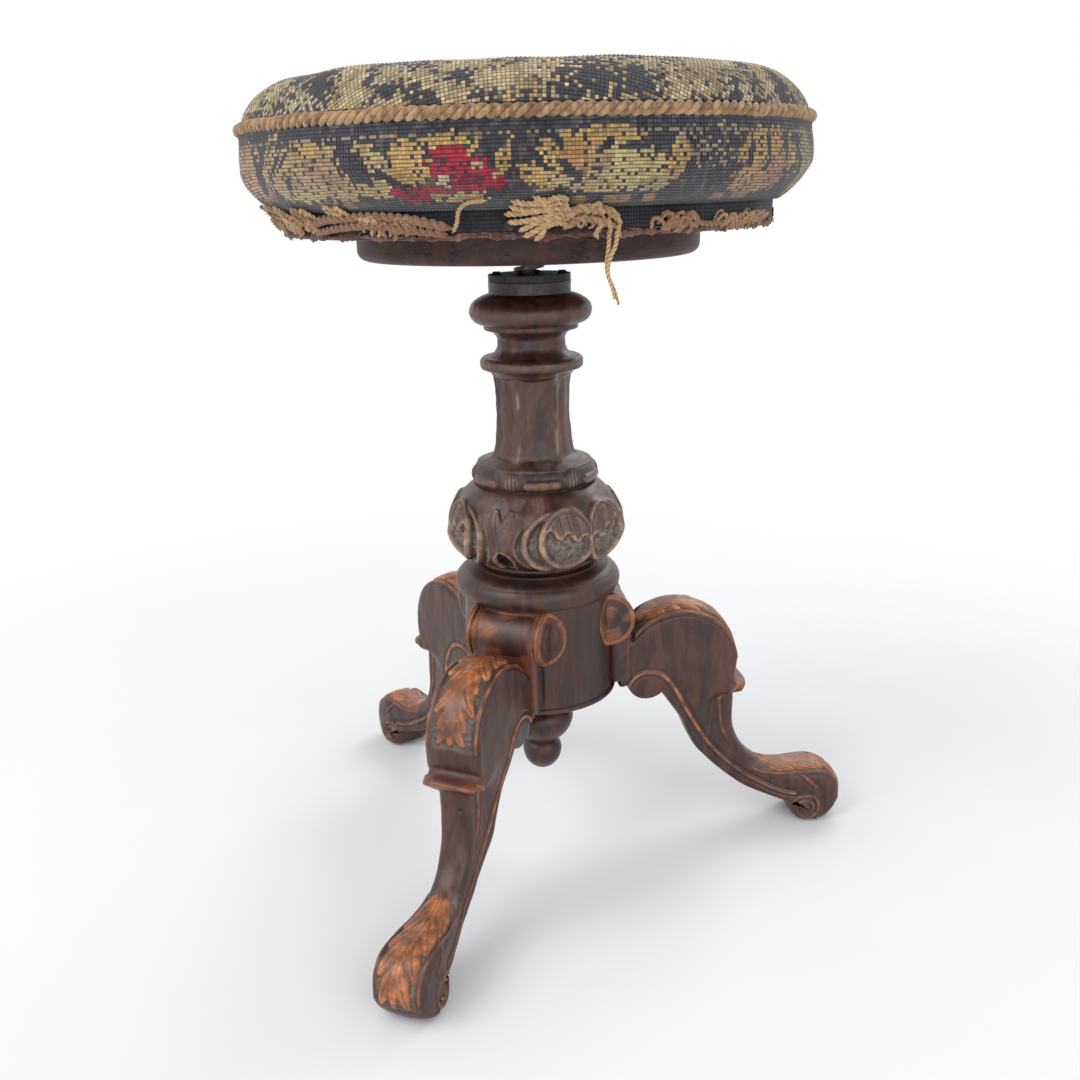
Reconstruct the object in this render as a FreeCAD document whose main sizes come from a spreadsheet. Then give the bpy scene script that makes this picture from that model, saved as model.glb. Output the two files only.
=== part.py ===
import FreeCAD, Part
import math
import os

import Sketcher
from FreeCAD import Placement, Rotation, Vector

# Revolving piano stool: a turned and carved column on three scrolled legs, and a round
# upholstered seat on an iron screw. Millimetres, +Z up, origin on the floor under the
# screw's axis. Leg 1 points along -Y, legs 2 and 3 follow at 120 degree steps.

SIZES = {
    # heights of the stacked pieces, from the floor up
    "drum_bottom": 116.5,
    "drum_height": 70.5,
    "cap_height": 24.0,
    "knop_height": 49.0,
    "shaft_height": 125.5,
    "nut_flange_thickness": 4.0,
    "seat_gap": 11.0,
    "block_thickness": 15.5,
    "board_thickness": 18.0,
    "seam_rise": 39.5,
    "cushion_rise": 69.0,
    # turned pieces of the column
    "drum_radius": 49.0,
    "cap_radius": 54.1,
    "knop_radius": 56.2,
    "collar_radius": 40.2,
    "shaft_radius": 23.5,
    "disc_radius": 32.2,
    "knob_radius": 38.2,
    "neck_radius": 25.3,
    "tenon_radius": 18.0,
    "tenon_depth": 37.0,
    "finial_radius": 21.0,
    "finial_length": 63.0,
    "finial_ball_radius": 13.0,
    "finial_tenon_radius": 8.0,
    "finial_tenon_length": 20.0,
    "glue_gap": 0.1,
    # lifting screw and its nut
    "screw_radius": 9.5,
    "shank_radius": 9.7,
    "thread_depth": 1.6,
    "thread_pitch": 6.0,
    "thread_gap": 0.3,
    "screw_length": 150.0,
    "travel_down": 8.0,
    "bore_gap": 1.5,
    "nut_radius": 15.0,
    "nut_length": 34.0,
    "nut_screw_circle": 20.0,
    # thrust collar, flange and wooden block under the seat
    "thrust_radius": 15.0,
    "thrust_height": 5.0,
    "thrust_bore_gap": 0.8,
    "running_gap": 0.3,
    "rivet_radius": 12.0,
    "rivet_height": 2.0,
    "flange_radius": 42.0,
    "flange_thickness": 6.0,
    "flange_screw_circle": 30.0,
    "block_radius": 103.0,
    "block_round": 6.0,
    "block_screw_circle": 75.0,
    "wood_screw_radius": 2.2,
    "wood_screw_head": 4.5,
    # seat board and upholstery
    "board_radius": 142.0,
    "board_round": 1.5,
    "seat_radius": 165.5,
    "fold_overhang": 5.5,
    "fold_drop": 3.5,
    "hem_drop": 14.5,
    "shoulder_radius": 130.0,
    "shoulder_drop": 4.0,
    "cover_thickness": 2.0,
    "linen_thickness": 1.0,
    "layer_gap": 0.2,
    "cord_radius": 3.5,
    "braid_height": 3.8,
    "tack_head_radius": 2.6,
    "tack_length": 9.0,
    "tuft_depth": 5.0,
    "thread_radius": 1.1,
    # legs
    "leg_half_width": 18.0,
    "block_half_width": 22.0,
    "block_reach": 58.0,
    "block_lift": 5.0,
    "roll_reach": 43.0,
    "roll_radius": 18.0,
    "roll_half_length": 26.0,
    "roll_drop": 18.5,
    "roll_bead": 4.5,
    "knee_reach": 94.0,
    "knee_drop": 57.0,
    "knee_radius": 40.5,
    "knee_round": 6.0,
    "cuff_reach": 140.5,
    "cuff_height": 12.0,
    "shin_reach": 133.8,
    "shin_thickness": 38.0,
    "shin_half_width": 10.5,
    "instep_radius": 42.5,
    "foot_reach": 193.0,
    "foot_radius": 20.5,
    "foot_half_width": 17.5,
    "foot_flat": 6.0,
    "scroll_radius": 11.2,
    "lobe_reach": 70.5,
    "lobe_radius": 12.8,
    "seat_clearance": 0.15,
    "dowel_radius": 4.5,
    "dowel_start": 22.0,
    "dowel_length": 33.0,
}

LEG_COUNT = 3
LEG_STEP = 360.0 / LEG_COUNT
FLANGE_SCREWS = 4
BLOCK_SCREWS = 4
NUT_SCREWS = 2
TACK_COUNT = 18
NUT_SCREW_TURN = 113.5
DOWEL_LEVELS = (20.0, 44.0)

doc = FreeCAD.newDocument("PianoStool")
sheet = doc.addObject("Spreadsheet::Sheet", "Sizes")
for row, (alias, number) in enumerate(SIZES.items(), start=1):
    sheet.set(f"A{row}", alias.replace("_", " "))
    sheet.set(f"B{row}", str(number))
    sheet.setAlias(f"B{row}", alias)
doc.recompute()


class Size:
    """A number together with the sheet expression that gives it."""

    def __init__(self, number, words):
        self.number = number
        self.words = words

    def join(self, other, sign, number):
        words = other.words if isinstance(other, Size) else repr(float(other))
        return Size(number, f"({self.words} {sign} {words})")

    def __add__(self, other):
        return self.join(other, "+", self.number + plain(other))

    def __sub__(self, other):
        return self.join(other, "-", self.number - plain(other))

    def __mul__(self, other):
        return self.join(other, "*", self.number * plain(other))

    def __truediv__(self, other):
        return self.join(other, "/", self.number / plain(other))


def plain(value):
    return value.number if isinstance(value, Size) else float(value)


def size(alias):
    return Size(float(sheet.get(alias)), f"Sizes.{alias}")


def bind(thing, **sizes):
    for name, value in sizes.items():
        thing.setExpression(name, value.words)


def set_at(thing, x=None, y=None, z=None, rotation=None):
    """Give a piece its place, each coordinate bound to the sheet where it is a Size."""
    place = Vector(*(plain(value or 0.0) for value in (x, y, z)))
    thing.Placement = Placement(place, rotation or Rotation())
    for axis, value in (("x", x), ("y", y), ("z", z)):
        if isinstance(value, Size):
            thing.setExpression(f"Placement.Base.{axis}", value.words)


# Levels up the axis, each resting on the one below
DRUM_BOTTOM = size("drum_bottom")
DRUM_TOP = DRUM_BOTTOM + size("drum_height")
CAP_TOP = DRUM_TOP + size("cap_height")
KNOP_TOP = CAP_TOP + size("knop_height")
SHAFT_TOP = KNOP_TOP + size("shaft_height")
NUT_TOP = SHAFT_TOP + size("nut_flange_thickness")
BLOCK_BOTTOM = NUT_TOP + size("seat_gap")
BOARD_BOTTOM = BLOCK_BOTTOM + size("block_thickness")
BOARD_TOP = BOARD_BOTTOM + size("board_thickness")
SEAM_LEVEL = BOARD_TOP + size("seam_rise")
CROWN_LEVEL = BOARD_TOP + size("cushion_rise")
SCREW_BOTTOM = BLOCK_BOTTOM - size("screw_length")
FOLD_RADIUS = size("board_radius") + size("fold_overhang")
GLUE = size("glue_gap")
GAP = size("running_gap")
AXIS = Size(0.0, "0")

pieces = {}


def keep(label, thing):
    """Name a finished sub-part."""
    thing.Label = label
    pieces[label] = thing
    return thing


def cylinder(radius, height, z, x=None, y=None, rotation=None):
    rod = doc.addObject("Part::Cylinder", "Rod")
    bind(rod, Radius=radius, Height=height)
    set_at(rod, x, y, z, rotation)
    return rod


def cone(radius_low, radius_high, height, z, x=None, y=None):
    taper = doc.addObject("Part::Cone", "Taper")
    bind(taper, Radius1=radius_low, Radius2=radius_high, Height=height)
    set_at(taper, x, y, z)
    return taper


def cut(base, tool):
    removed = doc.addObject("Part::Cut", "Cut")
    removed.Base = base
    removed.Tool = tool
    return removed


def fuse(parts):
    joined = doc.addObject("Part::MultiFuse", "Joined")
    joined.Shapes = parts
    return joined


def group(parts):
    together = doc.addObject("Part::Compound", "Group")
    together.Links = parts
    return together


def solid(shape, place=None):
    """A piece made by the shape functions, for forms that no primitive or sketch gives."""
    feature = doc.addObject("Part::Feature", "Shaped")
    feature.Shape = shape
    feature.Placement = place or Placement()
    return feature


def round_axis(count, radius, first=0.0):
    """Places of count holes on a circle, as x and y sizes."""
    for index in range(count):
        angle = math.radians(first + index * 360.0 / count)
        yield radius * math.cos(angle), radius * math.sin(angle)


def arc_middle(start, end, bulge):
    """Middle point of an arc that leaves the chord by bulge times half its length."""
    dx, dz = end[0] - start[0], end[1] - start[1]
    return (start[0] + end[0] + dz * bulge) / 2.0, (start[1] + end[1] - dx * bulge) / 2.0


def chord(start, end):
    """Length between two corners, as a Size."""
    words = []
    squares = 0.0
    for first, second in zip(start[:2], end[:2]):
        step = second - first
        squares += step.number ** 2
        words.append(f"({step.words})^2")
    return Size(math.sqrt(squares), f"sqrt({words[0]} + {words[1]})")


def turned(corners):
    """Turn a closed outline of (radius, height, bulge) corners about the axis.

    The bulge belongs to the stretch that follows its corner: 0 is a straight line, 1 a
    half circle to the right of the way the outline runs."""
    body = doc.addObject("PartDesign::Body", "Turning")
    sketch = body.newObject("Sketcher::SketchObject", "Outline")
    plane = next(item for item in body.Origin.OriginFeatures if item.Role == "XZ_Plane")
    sketch.AttachmentSupport = (plane, "")
    sketch.MapMode = "FlatFace"
    points = [(plain(corner[0]), plain(corner[1])) for corner in corners]
    bulges = [corner[2] if len(corner) > 2 else 0.0 for corner in corners]
    ends = []
    for index, start in enumerate(points):
        end = points[(index + 1) % len(points)]
        first, last = Vector(*start), Vector(*end)
        if bulges[index] == 0.0:
            edge = sketch.addGeometry(Part.LineSegment(first, last), False)
            ends.append((edge, 1, 2))
        else:
            middle = Vector(*arc_middle(start, end, bulges[index]))
            edge = sketch.addGeometry(Part.Arc(first, middle, last), False)
            # a sketch stores every arc anticlockwise, so a left-hand one runs end to start
            ends.append((edge, 1, 2) if bulges[index] > 0 else (edge, 2, 1))
    constraints = []
    bound = []
    for index, corner in enumerate(corners):
        edge, start, _ = ends[index]
        before, _, finish = ends[index - 1]
        constraints.append(Sketcher.Constraint("Coincident", before, finish, edge, start))
        if corner[0] is AXIS:
            constraints.append(Sketcher.Constraint("PointOnObject", edge, start, -2))
        else:
            bound.append((len(constraints), corner[0]))
            constraints.append(Sketcher.Constraint("DistanceX", -1, 1, edge, start, points[index][0]))
        bound.append((len(constraints), corner[1]))
        constraints.append(Sketcher.Constraint("DistanceY", -1, 1, edge, start, points[index][1]))
    for index, bulge in enumerate(bulges):
        if bulge:
            span = chord(corners[index], corners[(index + 1) % len(corners)])
            radius = span * ((1.0 + bulge * bulge) / (4.0 * abs(bulge)))
            bound.append((len(constraints), radius))
            constraints.append(Sketcher.Constraint("Radius", ends[index][0], radius.number))
    sketch.addConstraint(constraints)
    for number, value in bound:
        sketch.setExpression(f"Constraints[{number}]", value.words)
    turning = body.newObject("PartDesign::Revolution", "Revolve")
    turning.Profile = sketch
    turning.ReferenceAxis = (sketch, ["V_Axis"])
    turning.Angle = 360.0
    body.Tip = turning
    return body


def ring(inner, outer, low, high):
    """A plain ring, as a turned piece."""
    return turned([(inner, low), (outer, low), (outer, high), (inner, high)])


def wood_screw(x, y, head_level, length, spare=None):
    """Countersunk screw driven upwards, or its hole when spare is given."""
    extra = spare or AXIS
    head = size("wood_screw_head") + extra
    shank = size("wood_screw_radius") + extra
    taper_height = size("wood_screw_head") - size("wood_screw_radius")
    parts = [
        cone(head, shank, taper_height, head_level, x, y),
        cylinder(shank, length + extra, head_level, x, y),
    ]
    return fuse(parts)


# Hub drum: the turned block that carries the three legs
def make_hub_drum():
    bead = 1.7
    socket = size("tenon_radius") + GLUE
    pin = size("finial_tenon_radius") + GLUE
    pin_top = DRUM_BOTTOM + size("finial_tenon_length") + GLUE
    socket_bottom = DRUM_TOP - size("tenon_depth") - GLUE
    radius = size("drum_radius")
    drum = turned([
        (AXIS, pin_top), (pin, pin_top), (pin, DRUM_BOTTOM), (radius, DRUM_BOTTOM, 0.9),
        (radius, DRUM_BOTTOM + 2.0 * bead), (radius, DRUM_TOP), (socket, DRUM_TOP),
        (socket, socket_bottom), (AXIS, socket_bottom),
    ])
    return keep("hub_drum", cut(drum, group(dowels(GLUE / 2.0))))


def dowels(spare):
    """Two wooden pins for each leg, running out from the drum into the leg's block."""
    pins = []
    for leg in range(LEG_COUNT):
        angle = math.radians(leg * LEG_STEP)
        start = size("dowel_start") - spare
        outward = Rotation(Vector(0, 0, 1), Vector(math.sin(angle), -math.cos(angle), 0))
        for level in DOWEL_LEVELS:
            radius = size("dowel_radius") + spare
            length = size("dowel_length") + spare * 2.0
            x, y = start * math.sin(angle), start * -math.cos(angle)
            pins.append(cylinder(radius, length, DRUM_BOTTOM + level, x, y, outward))
    return pins


# Base cap: the moulding between drum and carved knop
def make_base_cap():
    hole = size("tenon_radius") + GLUE
    edge = size("cap_radius")
    keep("base_cap", turned([
        (hole, DRUM_TOP), (edge - 4.1, DRUM_TOP, 0.53), (edge - 3.2, DRUM_TOP + 13.6, 0.15),
        (edge - 7.5, DRUM_TOP + 16.6), (edge - 14.7, DRUM_TOP + 17.3),
        (edge - 14.7, DRUM_TOP + 18.8), (edge - 17.8, DRUM_TOP + 19.4, 0.7),
        (edge - 17.8, CAP_TOP), (hole, CAP_TOP),
    ]))


# Carved knop: the bulb, undercut below, tapering to the collar above
def make_carved_knop():
    hole = size("tenon_radius") + GLUE
    widest = size("knop_radius")
    keep("carved_knop", turned([
        (hole, CAP_TOP), (widest - 19.7, CAP_TOP, 0.34), (widest, CAP_TOP + 18.0, 0.24),
        (size("collar_radius") - 0.6, KNOP_TOP), (hole, KNOP_TOP),
    ]))


def hexagon(circumradius, z):
    outline = doc.addObject("Part::RegularPolygon", "Hexagon")
    outline.Polygon = 6
    bind(outline, Circumradius=circumradius)
    set_at(outline, z=z, rotation=Rotation(Vector(0, 0, 1), 30))
    return outline


# Column shaft: long tenon, beaded collar, six-sided shaft, ring and knob, bored for the screw
def make_column_shaft():
    tenon = size("tenon_radius")
    collar = size("collar_radius")
    waist = size("shaft_radius")
    disc = size("disc_radius")
    knob = size("knob_radius")
    neck = size("neck_radius")
    foot = turned([
        (AXIS, DRUM_TOP - size("tenon_depth")), (tenon, DRUM_TOP - size("tenon_depth")),
        (tenon, KNOP_TOP), (collar - 1.6, KNOP_TOP, 0.3), (collar - 1.7, KNOP_TOP + 11.3, 0.3),
        (collar - 6.2, KNOP_TOP + 14.0), (waist + 5.5, KNOP_TOP + 15.5), (AXIS, KNOP_TOP + 15.5),
    ])
    sections = [(6.0, 14.5), (2.8, 19.0), (1.4, 25.0), (0.0, 42.0), (0.3, 60.0), (1.6, 69.5)]
    prism = doc.addObject("Part::Loft", "Prism")
    prism.Sections = [hexagon(waist + flare, KNOP_TOP + rise) for flare, rise in sections]
    prism.Solid = True
    prism.Ruled = True
    head = turned([
        (AXIS, KNOP_TOP + 66.0), (waist, KNOP_TOP + 66.0), (waist + 1.6, KNOP_TOP + 68.5, -0.3),
        (disc - 1.0, KNOP_TOP + 72.5), (disc, KNOP_TOP + 74.0), (disc, KNOP_TOP + 77.8),
        (disc - 4.5, KNOP_TOP + 79.8, -0.3), (waist - 2.4, KNOP_TOP + 86.5),
        (waist - 2.4, KNOP_TOP + 91.0, -0.3), (disc - 3.2, KNOP_TOP + 96.5),
        (disc - 3.0, KNOP_TOP + 99.3), (knob - 5.4, KNOP_TOP + 100.3, 0.66),
        (knob - 4.7, SHAFT_TOP - 10.9, 0.1), (neck, SHAFT_TOP - 7.5), (neck, SHAFT_TOP),
        (AXIS, SHAFT_TOP),
    ])
    bore = size("screw_radius") + size("bore_gap")
    bore_bottom = SCREW_BOTTOM - size("travel_down") - size("bore_gap") * 2.0
    socket_depth = size("nut_length") - size("nut_flange_thickness") + GLUE
    hollow = [
        cylinder(bore, SHAFT_TOP - bore_bottom + 1.0, bore_bottom),
        cylinder(size("nut_radius") + GLUE, socket_depth + 1.0, SHAFT_TOP - socket_depth),
    ]
    hollow += nut_screw_shanks(GLUE)
    keep("column_shaft", cut(fuse([foot, prism, head]), fuse(hollow)))


# Finial: the turned drop under the drum
def make_finial():
    pin = size("finial_tenon_radius")
    widest = size("finial_radius")
    ball = size("finial_ball_radius")
    bottom = DRUM_BOTTOM - size("finial_length")
    neck = ball - 1.5
    keep("finial", turned([
        (AXIS, bottom, 0.36), (ball, bottom + ball, 0.3), (ball - 3.0, bottom + ball * 1.7),
        (neck, bottom + ball * 1.85, 0.2), (widest, DRUM_BOTTOM - 27.0, 0.35),
        (widest - 4.0, DRUM_BOTTOM - 15.0), (neck, DRUM_BOTTOM - 12.0), (neck + 2.5, DRUM_BOTTOM),
        (pin, DRUM_BOTTOM), (pin, DRUM_BOTTOM + size("finial_tenon_length")),
        (AXIS, DRUM_BOTTOM + size("finial_tenon_length")),
    ]))


def thread(root, crest, width_root, width_crest, low, length):
    """One helical ridge with sloping flanks, started a little inside its root."""
    pitch = plain(size("thread_pitch"))
    overlap = 0.8
    helix = Part.makeHelix(pitch, length, root)
    helix.translate(Vector(0, 0, low))
    inside, outside = root - overlap, crest
    flank = Part.makePolygon([
        Vector(inside, 0, low - width_root / 2.0), Vector(outside, 0, low - width_crest / 2.0),
        Vector(outside, 0, low + width_crest / 2.0), Vector(inside, 0, low + width_root / 2.0),
        Vector(inside, 0, low - width_root / 2.0),
    ])
    return Part.Wire(helix).makePipeShell([flank], True, True)


# Seat screw: square-cut thread, plain shank and riveted head
def make_seat_screw():
    radius = plain(size("screw_radius"))
    depth = plain(size("thread_depth"))
    pitch = plain(size("thread_pitch"))
    low = plain(SCREW_BOTTOM)
    top = plain(BLOCK_BOTTOM)
    ridge = thread(radius - depth, radius, pitch * 0.56, pitch * 0.4, low - 2.0 * pitch,
                   top - low + 4.0 * pitch)
    core = Part.makeCylinder(radius - depth, top - low + 2.0, Vector(0, 0, low - 1.0))
    blank = Part.makeCylinder(radius + pitch, top - low, Vector(0, 0, low))
    threaded = core.fuse(ridge).common(blank)
    shank = Part.makeCylinder(plain(size("shank_radius")), plain(BOARD_BOTTOM) - top,
                              Vector(0, 0, top))
    head = Part.makeCylinder(plain(size("rivet_radius")), plain(size("rivet_height")),
                             Vector(0, 0, plain(BOARD_BOTTOM)))
    keep("seat_screw", solid(threaded.fuse([shank, head]).removeSplitter()))


# Screw nut: iron flange and threaded socket let into the top of the column
def make_screw_nut():
    spare = plain(size("thread_gap"))
    radius = plain(size("screw_radius")) + spare
    depth = plain(size("thread_depth"))
    pitch = plain(size("thread_pitch"))
    length = plain(size("nut_length"))
    top = plain(NUT_TOP)
    low = top - length
    turns_below = math.floor((low - plain(SCREW_BOTTOM)) / pitch) - 1
    start = plain(SCREW_BOTTOM) + turns_below * pitch
    ridge = thread(radius - depth, radius, pitch * 0.56 + 2.0 * spare, pitch * 0.4 + 2.0 * spare,
                   start, length + 4.0 * pitch)
    hole = Part.makeCylinder(radius - depth, length + 4.0, Vector(0, 0, low - 2.0))
    flange = Part.makeCylinder(plain(size("neck_radius")), plain(size("nut_flange_thickness")),
                               Vector(0, 0, plain(SHAFT_TOP)))
    socket = Part.makeCylinder(plain(size("nut_radius")), plain(SHAFT_TOP) - low, Vector(0, 0, low))
    iron = flange.fuse(socket).cut(ridge).cut(hole)
    holes = group(nut_screw_shanks(GLUE))
    keep("screw_nut", cut(solid(iron), holes))


def nut_screw_shanks(spare):
    shank = size("wood_screw_radius") - 0.4 + spare
    places = round_axis(NUT_SCREWS, size("nut_screw_circle"), NUT_SCREW_TURN - 90.0)
    length = 15.0 + 2.0 * plain(spare)
    return [cylinder(shank, Size(length, repr(length)), NUT_TOP - 15.0, x, y) for x, y in places]


# Nut screws: two round-headed screws through the nut's flange
def make_nut_screws():
    screws = []
    head_radius = size("wood_screw_radius") + 1.0
    head_height = 1.6
    places = round_axis(NUT_SCREWS, size("nut_screw_circle"), NUT_SCREW_TURN - 90.0)
    for shank, (x, y) in zip(nut_screw_shanks(AXIS), places):
        head = cone(head_radius, head_radius - 1.0, Size(head_height, "1.6"), NUT_TOP, x, y)
        screws.append(fuse([shank, head]))
    keep("nut_screws", group(screws))


# Thrust collar: the iron ring that carries the block on the screw
def make_thrust_collar():
    inner = size("shank_radius") + size("thrust_bore_gap")
    keep("thrust_collar", ring(inner, size("thrust_radius"), BLOCK_BOTTOM,
                               BLOCK_BOTTOM + size("thrust_height")))


# Under-seat block: round-edged wooden disc that holds the flange up to the board
def make_seat_block():
    outer = size("block_radius")
    edge = size("block_round")
    pocket = size("thrust_radius") + GAP
    pocket_top = BLOCK_BOTTOM + size("thrust_height") + GAP
    hole = size("shank_radius") + GAP
    recess = size("flange_radius") + GLUE
    recess_bottom = BOARD_BOTTOM - size("flange_thickness") - GLUE
    disc = turned([
        (pocket, BLOCK_BOTTOM), (outer - edge, BLOCK_BOTTOM, 0.4142), (outer, BLOCK_BOTTOM + edge),
        (outer, BOARD_BOTTOM), (recess, BOARD_BOTTOM), (recess, recess_bottom),
        (hole, recess_bottom), (hole, pocket_top), (pocket, pocket_top),
    ])
    keep("seat_block", cut(disc, group(block_screw_shapes(GLUE))))


def block_screw_shapes(spare=None):
    length = size("block_thickness") + 12.0
    places = round_axis(BLOCK_SCREWS, size("block_screw_circle"), 45.0)
    return [wood_screw(x, y, BLOCK_BOTTOM, length, spare) for x, y in places]


def flange_screw_shapes(spare=None):
    length = size("flange_thickness") + 11.0
    places = round_axis(FLANGE_SCREWS, size("flange_screw_circle"))
    level = BOARD_BOTTOM - size("flange_thickness")
    return [wood_screw(x, y, level, length, spare) for x, y in places]


# Seat flange: round iron plate riveted to the screw and screwed to the board
def make_seat_flange():
    low = BOARD_BOTTOM - size("flange_thickness")
    plate = ring(size("shank_radius") + GLUE / 2.0, size("flange_radius"), low, BOARD_BOTTOM)
    keep("seat_flange", cut(plate, group(flange_screw_shapes(GLUE))))


# Seat board: the disc that everything upholstered is tacked to
def make_seat_board():
    outer = size("board_radius")
    edge = size("board_round")
    rivet = size("rivet_radius") + GAP
    rivet_top = BOARD_BOTTOM + size("rivet_height") + GAP
    disc = turned([
        (AXIS, rivet_top), (rivet, rivet_top), (rivet, BOARD_BOTTOM),
        (outer - edge, BOARD_BOTTOM, 0.4142), (outer, BOARD_BOTTOM + edge), (outer, BOARD_TOP),
        (AXIS, BOARD_TOP),
    ])
    holes = flange_screw_shapes(GLUE) + block_screw_shapes(GLUE) + tack_shapes(GLUE)
    keep("seat_board", cut(disc, group(holes)))


def crown_bulge():
    """Bulge of the crown's arc, so that it is level where it meets the axis."""
    slope = math.atan(plain(size("shoulder_drop")) / plain(size("shoulder_radius")))
    return math.tan(slope / 2.0)


def cushion_outline(inset):
    """Corners of the padded seat's outside, set in by a given depth.

    They run from the crown over the shoulder to the seam, and from the seam down the
    side to where the cloth folds under."""
    seam = size("seat_radius") - size("cord_radius") * 0.8
    top = [
        (AXIS, CROWN_LEVEL - inset, -crown_bulge()),
        (size("shoulder_radius"), CROWN_LEVEL - size("shoulder_drop") - inset, -0.33),
        (seam - inset, SEAM_LEVEL + size("cord_radius") + 0.5),
    ]
    side = [
        (seam + 1.8 - inset, SEAM_LEVEL - size("cord_radius") - 0.3, -0.03),
        (size("seat_radius") - inset, BOARD_TOP + 16.0, -0.16),
        (FOLD_RADIUS, BOARD_TOP - size("fold_drop") + inset),
    ]
    return top, side


# Needlework top: the domed round panel inside the corded seam
def make_needlework_top():
    top, _ = cushion_outline(AXIS)
    under, _ = cushion_outline(size("cover_thickness"))
    back = [(under[2][0], under[2][1], 0.33), (under[1][0], under[1][1], crown_bulge()),
            under[0][:2]]
    keep("needlework_top", turned(top + back))


# Needlework border: the side band, folded under and tacked along the board's edge
def make_needlework_border():
    thick = size("cover_thickness")
    _, side = cushion_outline(AXIS)
    _, under = cushion_outline(thick)
    hem = size("board_radius") + GAP
    hem_bottom = BOARD_TOP - size("hem_drop")
    fold = side + [
        (hem + thick, BOARD_TOP - size("fold_drop") + 1.5), (hem + thick * 0.8, hem_bottom),
        (hem, hem_bottom), (hem, BOARD_TOP + size("layer_gap")),
        (FOLD_RADIUS, BOARD_TOP + size("layer_gap"), 0.16),
        (under[1][0], under[1][1], 0.03), (under[0][0], under[0][1]),
    ]
    keep("needlework_border", cut(turned(fold), group(tack_shapes(GLUE))))


def inner_outline(inset, base):
    """Corners of a layer under the cover, nipped in behind the seam cord."""
    waist = size("seat_radius") - size("cord_radius") * 1.8 - inset + size("cover_thickness")
    top, side = cushion_outline(inset)
    return [
        top[0], (top[1][0], top[1][1], -0.3), (waist, SEAM_LEVEL + size("cord_radius")),
        (waist, SEAM_LEVEL - size("cord_radius"), -0.05),
        (side[1][0], side[1][1], -0.16), (side[2][0] + 0.8, base),
    ]


# Linen cover: the plain cloth that holds the stuffing
def make_linen_cover():
    gap = size("layer_gap")
    outer_inset = size("cover_thickness") + gap
    inner_inset = outer_inset + size("linen_thickness")
    base = BOARD_TOP + gap * 2.0 + size("cover_thickness") * 0.5
    hem = size("board_radius") - 4.0
    outer = inner_outline(outer_inset, base)
    inner = inner_outline(inner_inset, base + size("linen_thickness"))
    edge = [(hem, base), (hem, base + size("linen_thickness"))]
    back = [(inner[5][0], inner[5][1], 0.16), (inner[4][0], inner[4][1], 0.05), inner[3][:2],
            (inner[2][0], inner[2][1], 0.3), (inner[1][0], inner[1][1], crown_bulge()),
            inner[0][:2]]
    keep("linen_cover", turned(outer + edge + back))


# Seat stuffing: the horsehair pad, crowned on top and flat on the board
def make_seat_stuffing():
    gap = size("layer_gap")
    inset = size("cover_thickness") + size("linen_thickness") + gap * 2.0
    step = BOARD_TOP + gap * 3.0 + size("cover_thickness") * 0.5 + size("linen_thickness")
    foot = size("board_radius") - 4.0 - gap
    pad = inner_outline(inset, step)
    keep("seat_stuffing", turned(pad + [(foot, step), (foot, BOARD_TOP), (AXIS, BOARD_TOP)]))


# Piping cord: the ring of cord sewn into the seam
def make_piping_cord():
    cord = doc.addObject("Part::Torus", "Cord")
    bind(cord, Radius1=size("seat_radius") - 2.0, Radius2=size("cord_radius"))
    set_at(cord, z=SEAM_LEVEL)
    keep("piping_cord", cord)


def tack_shapes(spare=None):
    """Tacks round the hem, or their holes when spare is given."""
    extra = spare or AXIS
    tacks = []
    outside = size("board_radius") + GAP + size("cover_thickness")
    level = BOARD_TOP - size("hem_drop") + 3.2
    for index in range(TACK_COUNT):
        angle = math.radians((index + 0.5) * 360.0 / TACK_COUNT)
        inward = Rotation(Vector(0, 0, 1), Vector(-math.cos(angle), -math.sin(angle), 0))
        x, y = outside * math.cos(angle), outside * math.sin(angle)
        shank = cylinder(extra + 0.8, size("tack_length") + extra, level, x, y, inward)
        if spare:
            tacks.append(shank)
            continue
        x, y = (outside + 0.8) * math.cos(angle), (outside + 0.8) * math.sin(angle)
        head = cylinder(size("tack_head_radius"), Size(0.8, "0.8"), level, x, y, inward)
        tacks.append(fuse([shank, head]))
    return tacks


# Worn braid: what is left of the trimming round the bottom of the board
def make_worn_braid():
    inner = size("board_radius") + GAP
    top = BOARD_TOP - size("hem_drop") - size("layer_gap")
    low = top - size("braid_height") + 0.8
    keep("worn_braid", ring(inner, inner + 1.2, low, top))


# Each stretch of fringe: where it starts round the seat, how far it runs, how tall it is
FRINGE_STRETCHES = ((-47.0, 36.0, 9.0), (17.0, 25.0, 10.5), (50.0, 26.0, 6.0))
TUFT_INNER = size("board_radius") + GAP + size("cover_thickness") + 1.2
TUFT_BOTTOM = BOARD_TOP - size("hem_drop") - 1.0


# Fringe tufts: frayed remains of the fringe, as sectors against the hem
def make_fringe_tufts():
    tufts = []
    inner = TUFT_INNER
    low = TUFT_BOTTOM
    for start, sweep, height in FRINGE_STRETCHES:
        outer = plain(inner + size("tuft_depth"))
        wall = Part.makeCylinder(outer, height, Vector(0, 0, plain(low)), Vector(0, 0, 1), sweep)
        core = Part.makeCylinder(plain(inner), height + 2.0, Vector(0, 0, plain(low) - 1.0))
        turn = Placement(Vector(), Rotation(Vector(0, 0, 1), start - 90.0))
        tufts.append(solid(wall.cut(core), turn))
    keep("fringe_tufts", group(tufts))


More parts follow.
